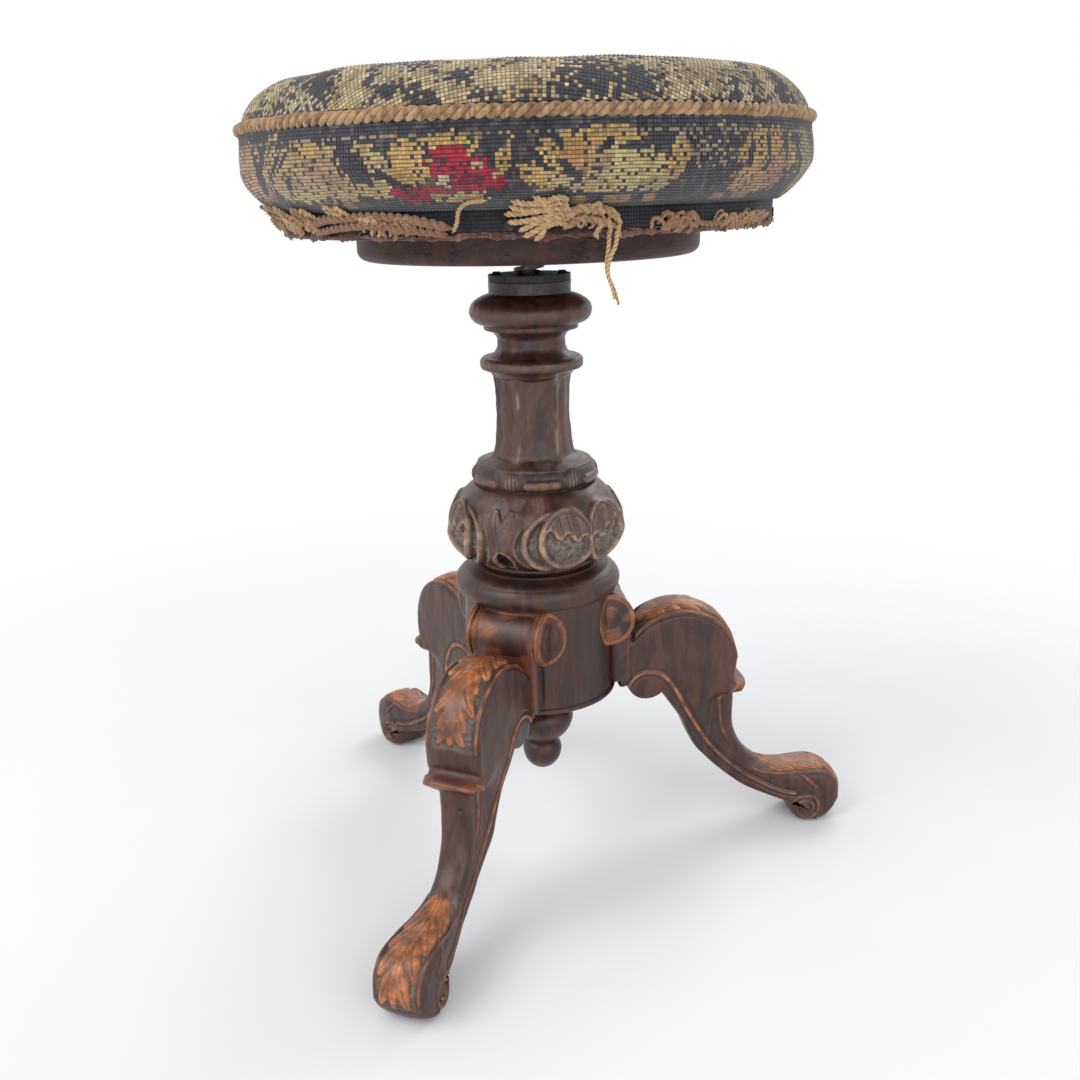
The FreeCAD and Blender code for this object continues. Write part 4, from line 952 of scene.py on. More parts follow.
def leg_relief(u, v, reach, height, stops):
    """Carving heights over a leg's skin, with where dust lies and where it is rubbed."""
    knee_u = u - 6.0
    on_knee = ease(knee_u, 4.0, 8.0) * ease(104.0 - knee_u, 0.0, 3.0)
    field = on_knee * ease(14.6 - v, 0.0, 1.4)
    leaf = np.zeros_like(u)
    for line, width, rise in KNEE_LEAVES:
        leaf = np.maximum(leaf, lobe(knee_u, v, line, width, rise * 1.9))
    relief = field * (leaf - 1.3)
    relief += on_knee * (0.9 * ridge(v - 16.2, 1.0) - 0.6 * ridge(v - 18.6, 0.7))
    dust = field * (leaf < 0.35) * 0.55
    rubbed = np.interp(knee_u, [6, 14, 58, 72, 100], [0.5, 0.95, 0.9, 0.45, 0.35])
    glow = field * (leaf > 0.3) * rubbed + on_knee * 0.35 * ridge(v - 16.2, 1.2)

    lip = ridge(height - 111.0, 2.4) * ease(reach, 128.0, 136.0)
    relief += 0.5 * lip
    glow += 0.45 * lip

    foot_u = (u - stops[7]) / (stops[10] - stops[7]) * 60.0 + 162.0
    pins = np.exp(-((u - stops[5] - 9.0) ** 2 + (v - 4.5) ** 2) / 0.8)
    relief -= 1.6 * pins
    on_foot = ease(foot_u, 166.0, 171.0) * ease(229.0 - foot_u, 0.0, 4.0)
    pad = on_foot * ease(13.2 - v, 0.0, 1.2)
    toes = np.zeros_like(u)
    for line, width, rise in FOOT_LEAVES:
        toes = np.maximum(toes, lobe(foot_u, v, line, width, rise * 1.8))
    relief += pad * (toes - 1.1)
    dust += pad * (toes < 0.3) * 0.9
    glow += pad * (toes > 0.25) * 0.8
    relief += on_foot * 0.8 * ridge(v - 14.6, 0.9)
    glow += on_foot * 0.25 * ridge(v - 14.6, 1.1)

    sides = ease(v, 15.0, 18.0)
    gap, _ = nearest(reach, height, smooth_line(BACK_LINE, 60))
    relief += sides * (0.85 * ridge(gap, 1.0) - 0.7 * ridge(gap - 2.4, 0.8))
    glow += sides * 0.5 * ridge(gap, 0.9)
    rim, _ = nearest(reach, height, smooth_line(SHIN_LINE, 50))
    edge = sides * (1 - ease(height, 98.0, 101.0))
    relief += edge * (0.7 * ridge(rim, 0.9) - 0.5 * ridge(rim - 2.2, 0.7))
    glow += edge * 0.3 * ridge(rim, 0.9)
    cuff, _ = nearest(reach, height, [(134.0, 112.5), (129.0, 107.5), (122.0, 100.0)])
    relief += sides * 0.9 * ridge(cuff, 1.1)
    glow += sides * 0.35 * ridge(cuff, 1.1)

    turn = np.degrees(np.arctan2(height - SCROLL[1], reach - SCROLL[0]))
    out = np.hypot(reach - SCROLL[0], height - SCROLL[1])
    coil = np.cos((out - 0.75 - turn / 360.0 * SCROLL_PITCH) * (2 * np.pi / SCROLL_PITCH))
    in_scroll = ease(12.5 - out, 0.0, 2.0) * ease(out, 2.2, 3.0) * sides
    relief += in_scroll * 0.75 * coil + 1.2 * ease(2.6 - out, 0.0, 0.8) * sides
    dust += in_scroll * (coil < -0.3) * 0.35
    glow += in_scroll * 0.25 * (coil > 0.4)
    relief *= ease(height, 0.0, 2.0) * ease(u, 0.5, 5.0)
    return relief, np.clip(dust, 0, 1), np.clip(glow, 0, 1)


def block_shape(shape):
    """The leg's block against the drum, with softened edges."""
    half_wide, half_tall, middle = 22.0, 23.5, 145.0
    turn = np.radians(np.linspace(0, 360, 160, endpoint=False))
    power = 0.16
    across = half_wide * np.sign(np.cos(turn)) * np.abs(np.cos(turn)) ** power
    up = middle + half_tall * np.sign(np.sin(turn)) * np.abs(np.sin(turn)) ** power
    rows, marks = [], []
    for reach, inset in ((30.0, 0.0), (50.0, 0.0), (55.5, 0.0), (57.2, 0.5), (57.9, 1.5),
                         (58.0, 3.0)):
        x = across * (1 - inset / half_wide)
        z = (up - middle) * (1 - inset / half_tall) + middle
        y = np.maximum(reach, np.sqrt(np.maximum(DRUM_FACE ** 2 - x ** 2, 0)))
        rows.append(np.stack([x, -y, z], -1))
        marks.append(np.repeat([[0.12 * (reach > 57), 0, 0]], len(turn), 0))
    shape.grid(np.array(rows), True, np.array(marks), ends=True)


def roll_shape(shape):
    """The turned roll over the block, with a ring and a bead at each end."""
    half = outline([(0.0, 26.0), (14.0, 26.0, 0.3), (17.6, 24.6, 0.3), (17.6, 22.2, 0.3),
                    (16.0, 21.4), (16.1, 20.9, 0.6), (17.0, 19.6, 0.4), (16.0, 18.4),
                    (16.9, 17.2), (17.1, 8.0), (17.15, 0.0)], 0.5)
    line = np.vstack([half, (half * np.array([1, -1]))[::-1][1:]])
    turn = np.radians(np.arange(0, 360, 2.5))
    ring = np.stack([np.repeat(line[:, 1:2], len(turn), 1),
                     -(ROLL[0] + line[:, :1] * np.cos(turn)),
                     ROLL[1] + line[:, :1] * np.sin(turn)], -1)
    boss = ridge(np.hypot(ring[..., 1] + ROLL[0], ring[..., 2] - ROLL[1]) - 8, 1.2)
    ring[..., 0] += np.sign(ring[..., 0]) * 0.6 * boss * (np.abs(ring[..., 0]) > 25)
    keep_out(ring, DRUM_TOP + 0.5)
    edge = (np.abs(np.abs(line[:, 1]) - 19.6) < 1.2) | (np.abs(np.abs(line[:, 1]) - 23.5) < 1.6)
    worn = edge[:, None] * 0.35 + 0.25 * ease(drift(ring, 9.0, 31), 0.0, 0.9)
    shape.grid(ring, True, wear_and_shade_marks(worn, 0 * worn, 0.35 * boss))


class STOOL_OT_legs(bpy.types.Operator):
    """Carve the three scrolled legs, each with its block and roll"""
    bl_idname = "stool.legs"
    bl_label = "Legs"

    def execute(self, context):
        wood = context.scene.stool_wood
        finish = walnut("leg_walnut", tuple(wood.dark), tuple(wood.mid), carved=True,
                        grain=(1.0, 1.0, 0.25))
        skin, marks, stops = leg_skin(wood.relief / MM)
        run = lengths(leg_front())
        last = int(np.searchsorted(run, stops[9]))
        rows, columns = skin.shape[:2]
        faces = grid_faces(rows, columns, True)
        row, column = faces[:, 0] // columns, faces[:, 0] % columns
        behind = FRONT_COLUMNS + SIDE_COLUMNS - 1
        faces = faces[~((row > last) & (column >= behind) & (column < columns - behind))]
        for index in range(LEG_COUNT):
            shape = Shape()
            shape.add(skin, faces, marks)
            block_shape(shape)
            roll_shape(shape)
            shape.points = [turned_about(part, index * LEG_STEP) for part in shape.points]
            make_piece(f"leg_{index + 1}_carved", shape, "base", finish,
                       [f"leg_{index + 1}"], weld=0.02, marked=True)
        return {"FINISHED"}


# Ironwork and the wood under the seat

class STOOL_OT_ironwork(bpy.types.Operator):
    """Finish the lifting screw, its nut, the flange and the screws"""
    bl_idname = "stool.ironwork"
    bl_label = "Ironwork"

    def execute(self, context):
        black = iron("black_iron", (0.028, 0.026, 0.026), (0.085, 0.035, 0.018))
        steel = iron("screw_steel", (0.05, 0.047, 0.045), (0.07, 0.035, 0.02), polish=1.0)
        dress(black, "screw_nut", "seat_flange", "thrust_collar", "cover_tacks")
        dress(steel, "seat_screw", "nut_screws", "flange_screws", "block_screws")
        return {"FINISHED"}


class STOOL_OT_seat_wood(bpy.types.Operator):
    """Finish the block and the board under the seat"""
    bl_idname = "stool.seat_wood"
    bl_label = "Seat wood"

    def execute(self, context):
        wood = Finish("under_seat_wood", Specular_IOR_Level=0.35)
        figure = wood.noise(11.0, 5.0, 0.65, (1.0, 0.1, 1.0), 0.8)
        fine = wood.noise(1.1, 3.0, 0.7, (1.0, 0.06, 1.0))
        colour = wood.mix(wood.step(figure, 0.35, 0.65), (0.024, 0.009, 0.009),
                          (0.062, 0.022, 0.019))
        scuff = wood.step(wood.noise(6.0, 5.0, 0.7), 0.6, 0.72)
        colour = wood.mix(scuff * 0.45, colour, (0.12, 0.062, 0.05))
        split = wood.noise(42.0, 5.0, 0.6, (0.6, 0.6, 1.8), 0.3)
        crack = 1.0 - wood.step(wood.node("Math", {"operation": "ABSOLUTE"}, {0: split - 0.5}),
                                0.001, 0.006)
        colour = wood.mix(crack * 0.9, colour, (0.006, 0.004, 0.004))
        dress(wood.cover(colour, 0.5 + scuff * 0.25, figure * 0.3 + fine * 0.3 - crack, 0.4, 0.6),
              "seat_block", "seat_board")
        return {"FINISHED"}


# Padding

def under_outline(inset):
    """Outline of a layer under the cover, from the crown to its foot on the board."""
    waist = SEAT_RADIUS - CORD_RADIUS * 1.8 - inset + 2.0
    return [(0.5, CROWN - inset, -CROWN_BULGE),
            (SHOULDER_RADIUS, CROWN - SHOULDER_DROP - inset, -0.3),
            (waist, SEAM + CORD_RADIUS), (waist, SEAM - CORD_RADIUS, -0.05),
            (SEAT_RADIUS - inset, BOARD_TOP + 16.0, -0.16), (148.0, BOARD_TOP + 2.0)]


def lathe(corners, step, columns):
    """A closed grid turned about the axis from an outline, top to bottom."""
    line = outline(corners, step)[::-1]
    return polar(line[:, :1], line[:, 1:], np.arange(columns) * 360.0 / columns)


# Filling of the pad: its grid in metres, its pressure and its frames
PAD_GRID, PAD_PRESSURE, PAD_FRAMES = 0.0055, 4.0, 20


class STOOL_OT_padding(bpy.types.Operator):
    """Fill the seat's horsehair pad by cloth simulation and lay the linen over it"""
    bl_idname = "stool.padding"
    bl_label = "Padding"

    def execute(self, context):
        hair = Finish("horsehair", Roughness=0.8, Specular_IOR_Level=0.3)
        strand = hair.noise(1.4, 5.0, 0.75, warp=2.5)
        colour = hair.mix(hair.step(strand, 0.4, 0.6), (0.012, 0.009, 0.008), (0.09, 0.06, 0.04))
        hair.cover(colour, None, strand, 0.8, 0.9)
        shape = Shape()
        line = under_outline(6.2) + [(138.0, BOARD_TOP + 1.2), (0.5, BOARD_TOP + 1.0)]
        shape.grid(lathe(line, 4.0, 120), True, ends=True)
        pad = make_piece("horsehair_pad", shape, "seat", hair.material,
                         ["seat_stuffing"])
        self.fill(context, pad, context.scene.stool_seat.swell)

        linen = Shape()
        linen.grid(lathe(under_outline(2.4) + [(139.0, BOARD_TOP + 1.6)], 2.0, 360), True)
        cloth = make_piece("linen_under_cover", linen, "seat",
                           cloth_finish("linen", (0.35, 0.28, 0.19)), ["linen_cover"])
        across = 2.0 * lengths(outline(under_outline(2.4), 2.0))[-1] * MM
        return {"FINISHED"}

    def fill(self, context, pad, swell):
        """Swell the pad under pressure, then cap how far each point went."""
        remesh = pad.modifiers.new("even", "REMESH")
        remesh.mode, remesh.voxel_size = "VOXEL", PAD_GRID
        self.settle(context, pad)
        start = np.empty(len(pad.data.vertices) * 3)
        pad.data.vertices.foreach_get("co", start)
        cloth = pad.modifiers.new("fill", "CLOTH")
        cloth.settings.use_pressure = True
        cloth.settings.uniform_pressure_force = PAD_PRESSURE
        cloth.settings.effector_weights.gravity = 0.0
        cloth.point_cache.frame_start, cloth.point_cache.frame_end = 1, PAD_FRAMES
        for number in range(1, PAD_FRAMES + 1):
            context.scene.frame_set(number)
        self.settle(context, pad)
        ended = np.empty_like(start)
        pad.data.vertices.foreach_get("co", ended)
        move = (ended - start).reshape(-1, 3)
        size = np.linalg.norm(move, axis=1, keepdims=True)
        move *= np.minimum(1.0, swell / np.maximum(size, 1e-9))
        pad.data.vertices.foreach_set("co", (start.reshape(-1, 3) + move).ravel())
        context.scene.frame_set(1)
        smooth = pad.modifiers.new("smooth", "SUBSURF")
        smooth.levels = smooth.render_levels = 1
        self.settle(context, pad)
        pad.data.polygons.foreach_set("use_smooth", [True] * len(pad.data.polygons))

    def settle(self, context, pad):
        """Keep what the pad's modifiers make of it, and take them off."""
        seen = pad.evaluated_get(context.evaluated_depsgraph_get())
        mesh = bpy.data.meshes.new_from_object(seen)
        old = pad.data
        pad.modifiers.clear()
        pad.data = mesh
        mesh.materials.clear()
        mesh.materials.append(old.materials[0])
        bpy.data.meshes.remove(old)


# Needlework

# Colours of the wools
PINK, BEIGE, OCHRE = (0.44, 0.28, 0.17), (0.48, 0.35, 0.17), (0.50, 0.33, 0.125)
GREEN_BEIGE, CRIMSON, CREAM = (0.51, 0.42, 0.19), (0.37, 0.024, 0.045), (0.60, 0.47, 0.28)
OLIVE, ORANGE, ROSE = (0.35, 0.29, 0.15), (0.48, 0.27, 0.11), (0.49, 0.25, 0.17)
PALE_TOP = (0.56, 0.445, 0.26)

# Patches of the side band: azimuth, fall below the seam, half width in degrees, half height,
# slope in degrees for each millimetre down, and the wool
BORDER_PATCHES = (
    (-49.0, 22.0, 12.0, 19.0, 0.1, PINK), (-53.0, 14.0, 5.0, 8.0, 0.1, BEIGE),
    (-20.0, 22.0, 13.5, 16.5, 0.1, BEIGE), (-14.0, 22.0, 6.0, 9.0, 0.0, PINK),
    (-22.0, 34.0, 7.5, 6.0, 0.0, GREEN_BEIGE), (-17.5, 9.5, 5.0, 4.0, 0.2, OCHRE),
    (-10.0, 35.0, 5.0, 4.0, 0.2, BEIGE), (-2.0, 17.0, 2.4, 10.0, 0.35, BEIGE),
    (-3.5, 30.0, 3.8, 7.0, 0.3, BEIGE), (3.0, 14.0, 2.4, 7.0, 0.2, OCHRE),
    (9.5, 12.0, 6.5, 6.5, 0.0, OCHRE), (5.0, 21.0, 4.4, 10.0, -0.1, OCHRE),
    (10.5, 36.0, 6.0, 4.5, 0.0, BEIGE), (13.5, 23.0, 6.0, 9.5, 0.25, CRIMSON),
    (11.0, 14.0, 3.6, 3.6, 0.0, CRIMSON), (3.0, 35.0, 3.2, 5.5, 0.15, CRIMSON),
    (9.0, 31.5, 3.4, 3.4, 0.0, CRIMSON), (9.6, 27.0, 1.4, 3.6, 0.0, CREAM),
    (15.5, 20.0, 1.1, 2.2, 0.0, ROSE), (14.0, 27.0, 2.2, 2.6, 0.1, (0.25, 0.016, 0.045)),
    (19.8, 17.0, 1.5, 9.5, -0.1, OCHRE), (27.6, 16.0, 1.8, 7.5, 0.15, OCHRE),
    (25.4, 27.0, 2.8, 7.0, 0.25, OCHRE), (29.0, 30.0, 2.6, 4.0, 0.1, BEIGE),
    (34.0, 17.0, 5.0, 11.0, 0.1, ORANGE), (36.5, 8.0, 6.0, 3.4, 0.0, OCHRE),
    (40.5, 24.0, 7.4, 12.0, 0.05, GREEN_BEIGE), (36.0, 20.0, 2.4, 4.0, 0.1, PINK),
    (34.0, 32.0, 4.0, 4.0, 0.0, BEIGE), (48.8, 20.0, 1.9, 11.0, -0.1, OCHRE),
    (46.0, 32.0, 3.0, 4.0, 0.0, OLIVE),
    (63.5, 17.0, 1.5, 7.5, -0.1, OCHRE), (67.5, 17.0, 2.6, 12.0, -0.05, OCHRE),
    (73.0, 16.0, 2.4, 11.0, 0.0, ORANGE), (79.0, 18.0, 1.7, 10.0, 0.15, OCHRE),
    (70.0, 31.0, 8.0, 8.0, 0.1, ORANGE), (74.0, 26.0, 3.6, 8.5, 0.0, ROSE),
    (90.0, 22.0, 7.5, 17.0, 0.3, OLIVE),
)
# Ground stitches between the patches, in the same terms but for the wool
GAPS = (
    (-34.5, 20.0, 2.0, 15.0, -0.3), (-27.0, 18.0, 0.6, 9.0, -0.35), (-23.5, 14.0, 0.5, 6.0, -0.4),
    (-24.5, 29.0, 0.5, 7.0, -0.3), (-9.5, 12.0, 0.6, 6.0, -0.3), (-6.3, 20.0, 2.0, 8.0, 0.25),
    (-6.8, 37.0, 1.6, 3.0, 0.3), (0.2, 27.0, 0.9, 8.0, 0.3), (6.8, 12.0, 0.5, 4.0, 0.3),
    (83.5, 20.0, 1.2, 16.0, 0.3), (31.0, 25.0, 0.8, 6.0, 0.2), (36.2, 12.5, 0.7, 3.4, -0.4),
    (65.4, 18.0, 0.7, 7.0, 0.0), (70.4, 14.0, 0.5, 7.0, 0.0), (41.0, 14.0, 2.5, 1.3, 0.0),
)
# Small brown bars along the band's foot, each from one azimuth to another
SQUARES = ((25, 27), (31, 34), (37, 42), (44.5, 47), (-20, -16), (-13, -10.5), (60, 63), (66, 71),
           (90, 94), (101, 105), (128, 133), (137, 139), (160, 164), (192, 196), (201, 207),
           (231, 234), (244, 249), (262, 266), (281, 286))


def patch_share(azimuth, fall, centre, down, half, tall, slope):
    """How far inside one patch each place is, 1 at its middle and below 0 outside."""
    away = np.mod(azimuth - centre - slope * (fall - down) + 180.0, 360.0) - 180.0
    return 1.0 - (np.abs(away / half) ** 2.4 + np.abs((fall - down) / tall) ** 2.4)


def speckled(colour, places, seed, amount=0.16):
    """Uneven dye and wear from stitch to stitch."""
    pick = np.random.default_rng(seed)
    slow = drift(places, 12.0, seed + 1)[..., None] * amount * 0.6
    quick = pick.normal(0.0, amount, colour.shape[:-1] + (1,))
    return np.clip(colour * (1.0 + slow + quick), 0, 1)


def border_colours(azimuth, fall, ground):
    """Wool of each stitch of the side band."""
    places = np.stack([azimuth * 2.9, fall], -1)
    ragged = 0.35 * drift(places, 3.2, 41) + 0.2 * drift(places, 9.0, 42)
    colour = np.broadcast_to(np.array(ground), azimuth.shape + (3,)).copy()
    worn = ease(drift(places, 3.0, 43), 0.5, 1.0)[..., None] * 0.35
    colour = colour * (1 - worn) + np.array((0.22, 0.18, 0.13)) * worn
    for turn in (-112.0, 158.0, 0.0):
        for centre, *rest, wool in BORDER_PATCHES:
            inside = patch_share(azimuth, fall, centre + turn, *rest) + ragged > 0
            colour[inside & (fall < 43.0)] = wool
        for centre, *rest in GAPS:
            inside = patch_share(azimuth, fall, centre + turn, *rest) + ragged > 0
            colour[inside] = ground
    holes = (drift(places, 1.3, 48) > 1.05) & (fall > 5.0)
    colour[holes] = ground
    dots = (np.abs(fall - 5.8) < 1.0) & (drift(places, 1.6, 44) > 0.25)
    colour[dots] = (0.27, 0.23, 0.17)
    specks = (patch_share(azimuth, fall, 56.0, 13.0, 7.5, 11.0, 0.0) > 0) & (
        drift(places, 1.5, 46) > 0.15)
    colour[specks] = (0.34, 0.27, 0.19)
    # Painted shade: the ground wool is darker where the band turns under the seat's bulge
    low = fall > 43.5
    colour[low] = np.array(ground) * 0.55
    turned = np.mod(azimuth + 90.0, 360.0) - 90.0
    for first, last in SQUARES:
        square = (turned > first) & (turned < last) & (fall > 38.6) & (fall < 43.6)
        colour[square] = (0.33, 0.20, 0.11)
    return speckled(colour, places, 47)


def top_colours(across, along):
    """Wool of each stitch of the top panel: faded scrolls on a dark ground."""
    places = np.stack([across, along], -1)
    bend = places + 9.0 * np.stack([drift(places, 30.0, 51), drift(places, 30.0, 52)], -1)
    scroll = drift(bend, 17.0, 53) + 0.5 * drift(places, 5.0, 54)
    fine = drift(places, 2.2, 55)
    colour = np.broadcast_to(np.array((0.062, 0.062, 0.07)), across.shape + (3,)).copy()
    pale = scroll + 0.75 * fine > -0.5
    colour[pale] = PALE_TOP
    colour[pale & (drift(bend, 11.0, 56) > 0.45)] = BEIGE
    colour[(np.abs(scroll - 0.55) < 0.08) & (fine > -0.2)] = (0.075, 0.072, 0.08)
    colour[(np.abs(scroll + 0.45) < 0.12) & (fine > 0.1)] = (0.30, 0.26, 0.18)
    rose = (np.hypot(across, along) < 42.0) & (drift(bend, 13.0, 57) > 0.35) & pale
    colour[rose] = (0.36, 0.12, 0.10)
    return speckled(colour, places, 58, 0.2)


def stitched_piece(name, points, keep_face, colours, finish, replaced):
    """A cloth grid with two squares to each stitch, its wool and its stitch coordinates."""
    rows, columns = points.shape[:2]
    closed = keep_face is None
    faces = grid_faces(rows, columns, closed)
    if not closed:
        faces = faces[keep_face(faces)]
    used, faces = np.unique(faces, return_inverse=True)
    faces = faces.reshape(-1, 4)
    mesh = bpy.data.meshes.new(name)
    mesh.from_pydata((points.reshape(-1, 3)[used] * MM).tolist(), [], faces.tolist())
    row, column = used // columns, used % columns
    first = faces[:, 0]
    stitch = colours[np.minimum(row[first] // 2, colours.shape[0] - 1),
                     np.minimum(column[first] // 2, colours.shape[1] - 1)]
    layer = mesh.color_attributes.new("stitch", "BYTE_COLOR", "CORNER")
    flat = np.repeat(np.hstack([stitch, np.ones((len(stitch), 1))]), 4, axis=0)
    layer.data.foreach_set("color", flat.ravel())
    chart = mesh.uv_layers.new(name="stitches")
    corner = faces.ravel()
    uv = np.stack([column[corner], row[corner]], -1) / 2.0
    if closed:
        lifted = uv[:, 0].reshape(-1, 4)
        wrap = lifted.max(1) - lifted.min(1) > columns / 4.0
        lifted[wrap] = np.where(lifted[wrap] < columns / 8.0, lifted[wrap] + columns / 2.0,
                                lifted[wrap])
        uv[:, 0] = lifted.ravel()
    chart.data.foreach_set("uv", uv.ravel())
    return lay_out(name, mesh, "seat", finish, [replaced])


class STOOL_OT_needlework(bpy.types.Operator):
    """Stitch the domed top panel and the side band"""
    bl_idname = "stool.needlework"
    bl_label = "Needlework"

    def execute(self, context):
        seat = context.scene.stool_seat
        self.top(seat.top_stitch / MM, canvas_finish("top_wool", 1.1))
        self.border(seat.stitch / MM, tuple(seat.ground), canvas_finish("band_wool", 2.2))
        return {"FINISHED"}

    def top(self, stitch, finish):
        line = outline([(0.0, CROWN - 0.4, -CROWN_BULGE),
                        (SHOULDER_RADIUS, CROWN - 0.4 - SHOULDER_DROP, -0.33),
                        (SEAM_RADIUS - 0.2, SEAM + CORD_RADIUS + 0.2)], 1.0)
        run = lengths(line)
        whole = run[-1]
        half = math.ceil(whole / stitch) + 1
        line_up = (np.arange(4 * half + 1) - 2 * half) * stitch / 2.0
        across, along = np.meshgrid(line_up, line_up)
        far = np.hypot(across, along)
        held = np.minimum(far, whole)
        spin = np.radians(23.5)
        way = np.stack([across * math.cos(spin) - along * math.sin(spin),
                        across * math.sin(spin) + along * math.cos(spin)], -1) / np.maximum(
                            far, 1e-6)[..., None]
        reach, height = np.interp(held, run, line[:, 0]), np.interp(held, run, line[:, 1])
        points = np.concatenate([way * reach[..., None], height[..., None]], -1)
        points[..., 2] += 0.45 * drift(points[..., :2], 44.0, 61) * ease(whole - held, 4.0, 30.0)
        odd = (np.arange(4 * half + 1) % 2 == 1)
        raised = np.outer(odd, odd) * 0.45
        points += normals(points, False) * (raised * ease(whole - held, 0.0, 3.0))[..., None]
        inside = (far < whole + stitch * 0.5).ravel()
        middle = (np.arange(2 * half) - half + 0.5) * stitch
        colours = top_colours(*np.meshgrid(middle, middle))
        piece = stitched_piece("needlework_top_panel", points, lambda f: inside[f].all(1), colours,
                               finish, "needlework_top")

    def border(self, stitch, ground, finish):
        line = even(outline([
            (SEAM_RADIUS + 1.6, SEAM - CORD_RADIUS + 0.6, -0.03),
            (SEAT_RADIUS, BOARD_TOP + 16.0, -0.16),
            (BOARD_RADIUS + 5.5, BOARD_TOP - 3.5), (BOARD_RADIUS + 2.3, BOARD_TOP - 2.0),
            (BOARD_RADIUS + 2.1, BOARD_TOP - 14.2)], 0.5), 0.1)
        run = lengths(line)
        count = int(round(run[-1] / stitch))
        want = np.linspace(0.0, run[-1], 2 * count + 1)
        reach, height = (np.interp(want, run, line[:, k])[:, None] for k in (0, 1))
        columns = 2 * int(round(2 * math.pi * SEAT_RADIUS / stitch))
        azimuth = np.arange(columns) * 360.0 / columns
        points = polar(reach + 0 * azimuth, height, azimuth)
        soft = drift(points, 26.0, 62) * 1.1 * np.sin(np.pi * np.clip(want / 44.0, 0, 1))[:, None]
        odd_row, odd_column = (np.arange(2 * count + 1) % 2 == 1), (np.arange(columns) % 2 == 1)
        raised = np.outer(odd_row, odd_column) * 0.42
        out = normals(points, True)
        out *= np.sign((out * points * np.array([1, 1, 0])).sum(-1, keepdims=True).mean())
        points = points + out * (raised + np.minimum(soft, 0.6))[..., None]
        fall = (want[:-1:2] + want[1::2])[:, None] / 2.0 + 0 * azimuth[None, ::2]
        middle = np.broadcast_to(azimuth[::2] + 180.0 / columns, fall.shape)
        colours = border_colours(middle, fall, ground)
        piece = stitched_piece("needlework_side_band", points, None, colours, finish,
                               "needlework_border")


# Cord and trimmings

def strands(shape, path, radius, lay, plies, start=0.0, pale=(0.9, 0.9), thickness=0.56, red=0.0):
    """Lay twisted plies along a path, as a cord or a yarn."""
    path = even(np.asarray(path, float), lay / 10.0)
    run = lengths(path)
    first, second = carried(path, [0.3, 0.2, 1.0])
    taper = np.clip(np.minimum(run, run[-1] - run) / (radius * 1.2), 0.35, 1.0)[:, None]
    for ply in range(plies):
        turn = run / lay * 2 * np.pi + ply * 2 * np.pi / plies + start
        off = radius * (1.0 - thickness) * taper
        centre = path + off * (first * np.cos(turn)[:, None] + second * np.sin(turn)[:, None])
        tone = pale[0] if ply % 2 == 0 else pale[1]
        # Every ply gets an even small share of the painted groove shade
        marks = np.broadcast_to([tone, 0.15, red], (len(path), 7, 3))
        shape.tube(centre, np.repeat(radius * thickness * taper, 7, 1), marks)


def rim_path(stops, count):
    """A smooth path near the rim through (azimuth, height, reach) stops."""
    line = smooth_line(stops, count)
    return polar(line[:, 2], line[:, 1], line[:, 0])


class STOOL_OT_piping(bpy.types.Operator):
    """Lay the three-strand piping cord round the seam"""
    bl_idname = "stool.piping"
    bl_label = "Piping cord"

    def execute(self, context):
        seat = context.scene.stool_seat
        finish = yarn_finish("piping_cotton", tuple(seat.cord_pale), (0.15, 0.07, 0.036), 0.4)
        shape = Shape()
        ring = SEAT_RADIUS - 2.0
        lays = int(round(2 * math.pi * ring * MM / seat.cord_lay))
        steps = lays * 14
        azimuth = np.arange(steps) * 360.0 / steps
        sides = 10
        turn = np.linspace(0, 2 * np.pi, sides, endpoint=False)[None]
        for ply in range(3):
            lay = np.radians(azimuth * lays + ply * 120.0)[:, None]
            wobble = 0.18 * drift(polar(ring, SEAM, azimuth), 8.0, 71)[:, None]
            off, thick = 1.72, 1.95
            reach = ring + off * np.cos(lay) + thick * np.cos(turn)
            height = SEAM + wobble + off * np.sin(lay) + thick * np.sin(turn)
            flecks = drift(polar(ring, SEAM, azimuth * 3.0), 5.0, 72 + ply)
            flecks = ease(flecks, -0.9, 0.5)[:, None]
            # Painted shade on the inner sides of the plies, where they press together near the
            # cord's middle
            painted_groove_shade = ease(2.7 - np.hypot(reach - ring, height - SEAM - wobble), 0.0, 1.5)
            plies = 0.16 * np.sin(turn * 3.0 + lay * 3.0)
            shape.add(polar(reach, height, azimuth[:, None]),
                      np.mod(grid_faces(steps + 1, sides, True), steps * sides),
                      wear_and_shade_marks(0.3 + 0.62 * flecks + plies, painted_groove_shade, 0 * reach))
        make_piece("piping_rope", shape, "seat", finish, ["piping_cord"],
                   marked=True)
        return {"FINISHED"}


# Heights near the seat's foot, and the cover's reach at each
COVER_BULGE = ((428.0, 431.0, 436.0, 440.0), (148.4, 151.2, 155.6, 158.4))


